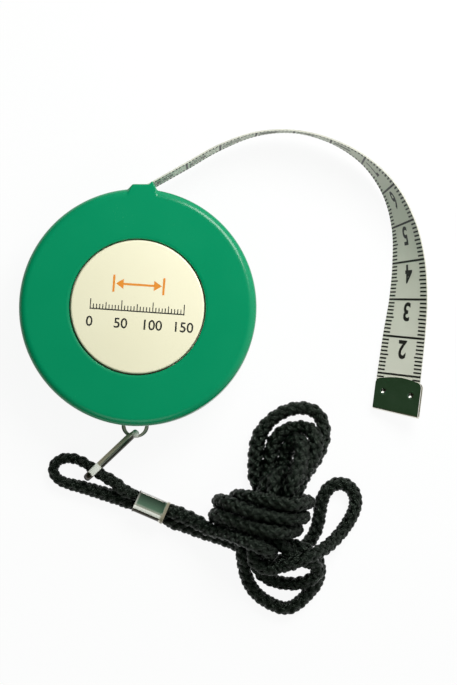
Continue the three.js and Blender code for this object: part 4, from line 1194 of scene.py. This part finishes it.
def bendOntoTape(piece, lift):  # flat x is the way from the tape's end, flat y runs to the lower edge
    for vertex in piece.data.vertices:
        fromEnd, across, off = vertex.co.x / mm, -vertex.co.y / mm, lift + vertex.co.z / mm
        k = 0
        while k < len(fromTip) - 2 and fromTip[k + 1] > fromEnd:
            k += 1
        share = (fromTip[k] - fromEnd) / (fromTip[k] - fromTip[k + 1])
        place, side, face = (bladeFrames[k][n].lerp(bladeFrames[k + 1][n], share) for n in (0, 2, 3))
        vertex.co = (place + side.normalized() * across + face.normalized() * off) * mm


def tapeRibbon():
    columns, half = len(bladeFrames) - 1, tape["width"] / 2

    def column(x):
        return round((x + 1) / 2 * columns)

    def place(x, y):
        middle, along, side, face = bladeFrames[column(x)]
        return middle + side * (y * half)

    return clothStrip(
        "tape_ribbon", columns, tape["rows"], tape["thick"], place, lambda x, y: (fromTip[column(x)], y * half))


ribbonPiece = tapeRibbon()
dress(ribbonPiece, "tape", "tape", "tape_cloth", "tape_blade")


def markRow(wide, tall, first, y, count):  # one mark, repeated at each centimetre
    piece = flatBar(wide, tall, first, y)
    applyModifier(
        piece, "ARRAY", count=count, use_relative_offset=False, use_constant_offset=True,
        constant_offset_displace=(tape["centimetre"] * mm, 0, 0))
    return piece


def sliced(piece, direction, first, step, count):  # cuts long faces so that they can follow the bow and the twist
    editAll(piece)
    for i in range(count):
        bpy.ops.mesh.select_all(action="SELECT")
        bpy.ops.mesh.bisect(plane_co=direction * (first + i * step) * mm, plane_no=direction)
    endEdit()


def tapePrint():
    width, unit, last = tape["width"], tape["centimetre"], tape["lastMark"]
    pieces = []
    for edge, (short, long) in tape["ticks"].items():  # millimetre ticks, a longer one at each half
        for k in range(1, unit):
            tall = long if k == unit // 2 else short
            y = edge * (width / 2 - tall / 2 - tape["tickInset"])
            pieces.append(markRow(tape["tickWide"], tall, k, y, last))
    pieces.append(markRow(tape["lineWide"], width - 2 * tape["lineInset"], unit, 0, last - 1))
    for number in range(2, last):  # a figure's head points to the end of the tape
        x = number * unit - tape["figureGap"] - tape["figureTall"] / 2
        pieces.append(
            flatText(str(number), tape["figureTall"], x, 0, tape["figureBold"], tape["figureNarrow"], 90))
    piece = joinPieces("tape_scale_print", pieces)
    faceUp(piece)
    first, step = tape["sliceFrom"], tape["sliceStep"]
    sliced(piece, Vector((1, 0, 0)), first, step, int((last * unit - first) / step))
    sliced(piece, Vector((0, 1, 0)), *tape["sliceRows"])
    bendOntoTape(piece, tape["thick"] / 2 + tape["inkLift"])
    return piece


printPiece = tapePrint()
dress(printPiece, "tapeInk", "tape", "tape_cloth")
print("tape printed:", round(tapeLength, 1), "mm of ribbon")


# Metal pieces: end clip, bail, hook and ferrule

clip = {
    "length": 10.0, "overhang": 0.3, "sheet": 0.45, "pocket": 0.95, "arch": 0.7, "corner": 1.5,
    # the dark reach in each dimple and the small bright spot in it are painted shade and a painted highlight
    "dimple": 0.95, "dimpleFloor": 0.15, "dimplePaintedShade": 0.8, "dimpleDeep": 0.34, "dimpleFromTip": 5.6,
    "dimpleSpacing": 7.6, "paintedHighlightSpot": (-0.12, -0.3), "paintedHighlightRadius": 0.27, "columns": 110, "rows": 130,
    "edge": 0.1, "beyond": 0.75, "shift": 0.4, "skew": 1.1,
}


def clipEdge(across):  # how far the arched edge lies from the fold
    half = tape["width"] / 2 + clip["overhang"]
    flank = half - clip["corner"]
    if abs(across) <= flank:
        return clip["length"] - clip["arch"] * (across / flank) ** 2
    share = min((abs(across) - flank) / clip["corner"], 1)
    return clip["length"] - clip["arch"] - clip["corner"] * (1 - math.sqrt(1 - share * share))


def fromDimples(across, fromFold):  # the way from the middle of each dimple
    for side in (-1, 1):
        yield across - side * clip["dimpleSpacing"] / 2, fromFold - clip["dimpleFromTip"]


def clipDent(across, fromFold):
    reach = clip["dimple"]
    aways = [math.hypot(x, y) for x, y in fromDimples(across, fromFold)]
    return sum(clip["dimpleDeep"] * (1 - smoothStep(away, clip["dimpleFloor"] * reach, reach)) for away in aways)


def skewEnd(piece):  # the end of the tape is not square: its lower side is shorter
    half = tape["width"] / 2
    for vertex in piece.data.vertices:
        away = vertex.co / mm - tipPlace
        share = 1 + away.dot(tipAlong) / tape["tipRun"]
        if share > 0:
            back = clip["skew"] * share * (half - away.dot(tipAcross)) / (2 * half)
            vertex.co -= tipAlong * back * mm


def endClip():
    half = tape["width"] / 2 + clip["overhang"]
    bend = (clip["pocket"] + clip["sheet"]) / 2  # radius of the fold at the middle of the sheet
    arc = math.pi * bend / 2

    def place(x, y):
        across = math.sin(x * math.pi / 2) * half  # columns close up at the corners
        front = 1 if y > 0 else -1
        reach = abs(y) * (clipEdge(across) - clip["sheet"] / 2 - bend + arc)
        if reach < arc:
            turn = reach / bend
            back, lift = bend - bend * math.cos(turn), bend * math.sin(turn)
        else:
            back, lift = reach - arc + bend, bend
        fromFold = back + clip["sheet"] / 2
        dent = clipDent(across, fromFold) if front > 0 and reach > arc else 0
        spot = tipPlace - tipAlong * (fromFold - clip["beyond"]) + tipAcross * (across + clip["shift"])
        return spot + tipFace * (front * lift - dent)

    piece = shapedGrid("tape_clip_folded", clip["columns"], clip["rows"], place)
    thicken(piece, clip["sheet"])
    settle(piece, 50)
    applyModifier(
        piece, "BEVEL", width=clip["edge"] * mm, segments=2, limit_method="ANGLE", angle_limit=math.radians(60))
    settle(piece, 40)

    def toneAt(spot):  # painted shade in the dimples, with a painted highlight spot in each
        away = spot - tipPlace
        across, fromFold = away.dot(tipAcross) - clip["shift"], clip["beyond"] - away.dot(tipAlong)
        if away.dot(tipFace) < 0:
            return 0.0
        paintedHighlightX, paintedHighlightY = clip["paintedHighlightSpot"]
        for x, y in fromDimples(across, fromFold):
            if math.hypot(x - paintedHighlightX, y - paintedHighlightY) < clip["paintedHighlightRadius"]:
                return 1.0
            if math.hypot(x, y) < clip["dimplePaintedShade"] * clip["dimple"]:
                return -0.95
        return 0.0

    setTone(piece, toneAt)
    return piece


clipPiece = endClip()
for endPiece in (ribbonPiece, printPiece, clipPiece):
    skewEnd(endPiece)
dress(clipPiece, "nickel", "tape", "nickel", "tape_end_clip")
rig.sheet(
    ribbonPiece, flat=(tape["width"] * mm, tapeLength * mm), held="laid",
    rests_on=[rearPiece.name], with_pieces=[printPiece, clipPiece],
)


def powered(value, power):  # rounds a circle out towards a square
    return math.copysign(abs(value) ** power, value)


def bailRing():
    half = bail["halfWidth"] - bail["strip"] / 2
    bottom = -(case["radius"] + bail["reach"] - bail["strip"] / 2)
    bar = -(case["inner"] - bail["inset"] - bail["strip"] / 2)
    bowTop = -case["radius"]
    legs = bar - bowTop
    bow = math.pi * (half + bowTop - bottom) / 2
    total = bow + 2 * legs + 2 * half

    def centreline(turn):
        run = turn % (2 * math.pi) / (2 * math.pi) * total
        if run < bow:
            angle = math.pi + math.pi * run / bow
            return Vector((bail["centre"] + half * math.cos(angle), bowTop + (bowTop - bottom) * math.sin(angle)))
        run -= bow
        if run < legs:
            return Vector((bail["centre"] + half, bowTop + run))
        run -= legs
        if run < 2 * half:
            return Vector((bail["centre"] + half - run, bar))
        run -= 2 * half
        return Vector((bail["centre"] - half, bar - run))

    def place(turn, section):
        here = centreline(turn)
        run = (centreline(turn + 0.01) - centreline(turn - 0.01)).normalized()
        wide = powered(math.cos(section), bail["corner"]) * bail["strip"] / 2
        tall = powered(math.sin(section), bail["corner"]) * bail["height"] / 2
        outside = smoothStep(-here.y, case["radius"] - 1, case["radius"] + 0.5)
        wide -= outside * bail["sideWide"] * abs(run.y) * (0.5 - wide / bail["strip"])
        return here.x + run.y * wide, here.y - run.x * wide, case["seam"] + tall

    piece = shapedTorus("bail_ring", 120, 20, place)
    settle(piece, 45)

    def toneAt(spot):  # painted shade outside, painted highlight inside
        away = Vector(((spot.x - bail["centre"]) / half, (spot.y - bowTop) / (bowTop - bottom)))
        return -0.9 if away.length > 1.01 else 0.5

    setTone(piece, toneAt)
    return piece


dress(bailRing(), "nickel", "case", "nickel", "lanyard_bail")

hook = {
    "length": 17.5, "heading": 223.2, "halfHeight": 3.0, "wire": 1.3, "ringWidth": 1.3, "width": 1.9,
    # the span near the eye is a painted highlight, and past it the end takes painted shade
    "widens": (0.03, 0.1), "square": 0.6, "eyeHeight": 3.85, "play": 0.3, "ridge": 0.72, "paintedHighlightFrom": 0.73,
    "paintedHighlightTo": 0.91, "bead": 0.9, "beadSpot": (-0.8, -32.45, 8.3),
}
bowInside = case["radius"] + bail["reach"] - bail["strip"]
hookPivot = Vector((bail["centre"], -(bowInside - hook["play"] - hook["wire"] / 2)))


def hookLink():
    heading = math.radians(hook["heading"])
    along = Vector((math.cos(heading), math.sin(heading)))

    def centreline(turn):
        share = (1 - powered(math.cos(turn), hook["square"])) / 2
        rise = hook["halfHeight"] * powered(math.sin(turn), hook["square"])
        return share, Vector((share * hook["length"], mixed(case["seam"], hook["eyeHeight"], share) + rise))

    def place(turn, section):
        share, here = centreline(turn)
        run = (centreline(turn + 0.03)[1] - centreline(turn - 0.03)[1]).normalized()
        outward = math.cos(section) * hook["wire"] / 2
        if math.sin(turn) > 0 and math.cos(section) < 0:  # the rolled ridge on top
            outward = -hook["ridge"] * (1 - abs(math.sin(section)))
        wide = mixed(hook["ringWidth"], hook["width"], smoothStep(share, *hook["widens"]))
        sideways = math.sin(section) * wide / 2
        reach, height = here.x - outward * run.y, here.y + outward * run.x
        return (
            hookPivot.x + along.x * reach - along.y * sideways,
            hookPivot.y + along.y * reach + along.x * sideways, height,
        )

    piece = shapedTorus("hook_link", 160, 24, place)
    settle(piece, 32)
    bead = placeInMesh(added(
        "bead", bpy.ops.mesh.primitive_uv_sphere_add, segments=24, ring_count=16, radius=hook["bead"] * mm,
        location=Vector(hook["beadSpot"]) * mm))
    cutWith(piece, bead, "UNION")
    settle(piece, 32, outwards=False)

    def toneAt(spot):  # painted highlight on the bead and near the eye, painted dark reflection along one side, painted shade at the end and a painted taupe reflection elsewhere
        away = Vector((spot.x, spot.y)) - hookPivot
        share, side = away.dot(along) / hook["length"], along.x * away.y - along.y * away.x
        onBead = (spot - Vector(hook["beadSpot"])).length < hook["bead"] * 1.02
        if onBead or hook["paintedHighlightFrom"] < share < hook["paintedHighlightTo"]:
            return 1.0
        return -0.9 if side > 0.02 or share > hook["paintedHighlightTo"] else 0.3

    setTone(piece, toneAt)
    return piece


dress(hookLink(), "nickel", "hook", "nickel", "snap_hook")


def ferruleSleeve():
    wide, tall = ferrule["width"] / 2, ferrule["height"] / 2
    middle = Vector((*ferrule["centre"], ferrule["low"] + tall))
    half, wall = ferrule["length"] / 2, ferrule["wall"]
    stations = [  # along the sleeve and in from its outside, round the wall's own section
        (-half, -ferrule["flare"] + 0.2), (-half + 0.12, -ferrule["flare"]), (-half + 0.4, -0.06), (-half + 0.7, 0),
        (-half * 0.4, 0), (0, 0), (half * 0.4, 0), (half - 1.3, 0), (half - 0.7, -0.12),
        (half - 0.12, -ferrule["flare"]), (half, -ferrule["flare"] + 0.2),
        (half, wall - 0.25), (half - 0.2, wall), (half - ferrule["recess"], wall),
        (-half + ferrule["recess"], wall), (-half + 0.2, wall), (-half, wall - 0.25),
    ]

    def cornerAt(x, y):
        if y < 0:
            return ferrule["lowCorner"]
        return ferrule["crisp"] if x > 0 else ferrule["round"]

    def place(turn, section):
        along, inset = stations[round(section / (2 * math.pi) * len(stations)) % len(stations)]
        x, y = math.cos(turn + 0.001), math.sin(turn + 0.001)
        corner = cornerAt(x, y)
        size = max(corner - inset, 0.1)
        outX = math.copysign(wide - corner, x) + size * x
        outY = math.copysign(tall - corner, y) + size * y
        return middle + ferruleAlong * along + ferruleAcross * outX + Vector((0, 0, outY))

    piece = shapedTorus("ferrule_sleeve", 96, len(stations), place)
    settle(piece, 35)

    def toneAt(spot):  # a painted highlight strip along the round edge, painted shade below it and on the far side, a painted highlight on the end lip and a lighter painted reflection on the flat top
        away = spot - middle
        across, along = away.dot(ferruleAcross), away.dot(ferruleAlong)
        fromFlat = ferrule["round"] - wide - across  # past the flat top, towards the round edge
        if along > half - ferrule["paintedHighlightEnd"]:
            return 0.35
        if across > wide - ferrule["crisp"] - 0.02:
            return -0.8
        if fromFlat < 0.03:
            return 0.2
        return 0.95 if fromFlat < ferrule["paintedHighlightStrip"] and away.z > 0 else -0.95

    setTone(piece, toneAt)
    return piece


dress(ferruleSleeve(), "nickel", "lanyard", "nickel", "cord_ferrule")
print("metal pieces shaped")


# Inside: the wound tape, the felt brake ring and the finish of the kept solids

roll = {"inner": 22.8, "outer": 25.93, "low": 2.75, "pitch": 0.313, "cloth": 0.3, "perTurn": 72, "rows": 2}


def woundTape():
    turns = (roll["outer"] - roll["inner"] - roll["pitch"]) / roll["pitch"]

    def onSpiral(x, y):
        share = (x + 1) / 2
        radius = roll["inner"] + roll["pitch"] / 2 + roll["pitch"] * turns * share
        return radius, 2 * math.pi * turns * share, (y + 1) / 2 * tape["width"]

    def place(x, y):
        radius, angle, across = onSpiral(x, y)
        return Vector((radius * math.cos(angle), radius * math.sin(angle), roll["low"] + across))

    def flatPlace(x, y):
        radius, angle, across = onSpiral(x, y)
        return radius * angle, across

    piece = clothStrip("tape_roll", round(turns * roll["perTurn"]), roll["rows"], roll["cloth"], place, flatPlace)
    return piece, 2 * math.pi * turns * (roll["inner"] + roll["outer"]) / 2


rollPiece, rollLength = woundTape()
dress(rollPiece, "tape", "reel", "tape_cloth", "wound_tape")
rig.sheet(rollPiece, flat=(tape["width"] * mm, rollLength * mm), held="folded", rests_on=["reel_drum"])

brakeRing = {"inner": 18.3, "outer": 19.6, "low": 14.1, "top": 14.7, "edge": 0.18}


def feltRing():
    edge = brakeRing["edge"]
    inner, outer = brakeRing["inner"] + edge, brakeRing["outer"] - edge
    low, top = brakeRing["low"] + edge, brakeRing["top"] - edge
    profile = []
    for i, (radius, height) in enumerate(((outer, low), (outer, top), (inner, top), (inner, low))):
        profile += arcPoints(radius, height, edge, 90 * (i - 1), 3)
    piece = spinProfile("felt_brake_ring", profile + profile[:1], 120)
    settle(piece, 60)
    return piece


dress(feltRing(), "felt", "button", "brake_felt", "brake_ring")

keptNodes = {
    "reel_drum": "reel", "reel_front_flange": "reel", "spring_cover": "reel", "spring_arbor": "reel",
    "mainspring": "steel",
}
for node, finish in keptNodes.items():
    frame["nodes"][node].data.materials.clear()
    frame["nodes"][node].data.materials.append(materials[finish])

buttonTravel = next(joint["range_m"][1] for joint in frame["joints"] if joint["name"] == "button_press")


def buttonCoil():  # the coil under the button, which shortens as the button goes down
    low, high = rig.box("button_spring")
    piece = bpy.data.objects.new("button_coil", frame["nodes"]["button_spring"].data.copy())
    scene.collection.objects.link(piece)
    settle(piece, 50, outwards=False)
    dress(piece, "steel", "case", "spring_steel", "button_spring")
    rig.squash(
        piece, "button_press", axis=(0, 0, 1), anchor=(0, 0, low.z), keep=1 - buttonTravel / (high.z - low.z))


buttonCoil()
print("inside dressed:", round(rollLength), "mm of tape on the reel")


# Stage: a white floor and soft light

stage = {
    "floorSize": 3.0, "floorDrop": 0.05, "floorGlow": 0.92, "world": 0.9, "left": (0.02, 0.05, 0.022, 1.0),
    "zenith": (0.12, 0.23, 0.164, 1.0), "horizon": (0.2, 0.17, 0.11, 1.0), "white": (1, 1, 1, 1),
    "leanX": 0.7, "leanY": 0.4, "bright": (0.08, 0.6), "over": (-0.4, -0.05), "low": (0.4, 0.2),
    "aim": (0.02, -0.01, 0),
}
lamps = {
    "key_softbox": {"place": (0.13, 0.15, 0.22), "size": (0.14, 0.14), "power": 0.7},
    "fill_softbox": {"place": (-0.05, -0.5, 0.5), "size": (0.4, 0.4), "power": 0.75},
}


def floorMaterial():  # white to the camera and in reflections, and it keeps a soft shadow
    material, tree, shader = newMaterial("floor_white")
    setInputs(tree, shader, {"Base Color": (0.95, 0.95, 0.95, 1), "Roughness": 0.9, "Specular IOR Level": 0.0})
    white = addNode(tree, "Emission", {"Color": stage["white"], "Strength": 1.0})
    path = addNode(tree, "LightPath").outputs
    seen = maths(tree, "MAXIMUM", path["Is Camera Ray"], path["Is Glossy Ray"])
    clear = maths(tree, "MAXIMUM", seen, path["Is Transmission Ray"])
    share = maths(tree, "MULTIPLY", clear, stage["floorGlow"])
    blend = addNode(tree, "MixShader", {"Fac": share, 1: shader.outputs[0], 2: white.outputs[0]})
    setInputs(tree, tree.nodes["Material Output"], {"Surface": blend.outputs[0]})
    return material


floorPiece = added(
    "floor", bpy.ops.mesh.primitive_plane_add, size=stage["floorSize"], location=(0, 0, -stage["floorDrop"] * mm))
floorPiece.data.materials.append(floorMaterial())
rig.stage(floorPiece)


def softWorld():  # bright on one side, dull green and brown on the others, and white to the camera
    scene.world = bpy.data.worlds.new("studio")
    scene.world.use_nodes = True
    tree = scene.world.node_tree

    def ranged(value, key):
        start, end = stage[key]
        return addNode(tree, "MapRange", {"Value": value, "From Min": start, "From Max": end}).outputs[0]

    place = addNode(tree, "TexCoord").outputs["Generated"]
    split = addNode(tree, "SeparateXYZ", {"Vector": place}).outputs
    side = maths(tree, "MULTIPLY", split["X"], stage["leanX"])
    lean = maths(tree, "MULTIPLY_ADD", split["Y"], stage["leanY"], side)
    dark = blended(tree, ranged(lean, "over"), stage["left"], stage["zenith"])
    dull = blended(tree, ranged(split["Z"], "low"), dark, stage["horizon"])
    tint = blended(tree, ranged(lean, "bright"), dull, stage["white"])
    seen = addNode(tree, "LightPath").outputs["Is Camera Ray"]
    strength = addNode(tree, "Mix", {"Factor": seen, 2: stage["world"], 3: 1.0}).outputs[0]
    setInputs(tree, tree.nodes["Background"], {
        "Color": blended(tree, seen, tint, stage["white"]), "Strength": strength})


def areaLamp(name, place, size, power):
    lamp = added(name, bpy.ops.object.light_add, type="AREA", location=place)
    lamp.data.shape = "RECTANGLE"
    lamp.data.size, lamp.data.size_y = size
    lamp.data.energy = power
    lamp.rotation_euler = (Vector(stage["aim"]) - Vector(place)).to_track_quat("-Z", "Y").to_euler()


softWorld()
for lampName, lampValues in lamps.items():
    areaLamp(lampName, **lampValues)
print("stage lit")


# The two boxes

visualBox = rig.bounds()
with open("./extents.json", "w") as boxes:
    json.dump({"cad": [list(corner) for corner in cadBox], "visual": [list(corner) for corner in visualBox]}, boxes)
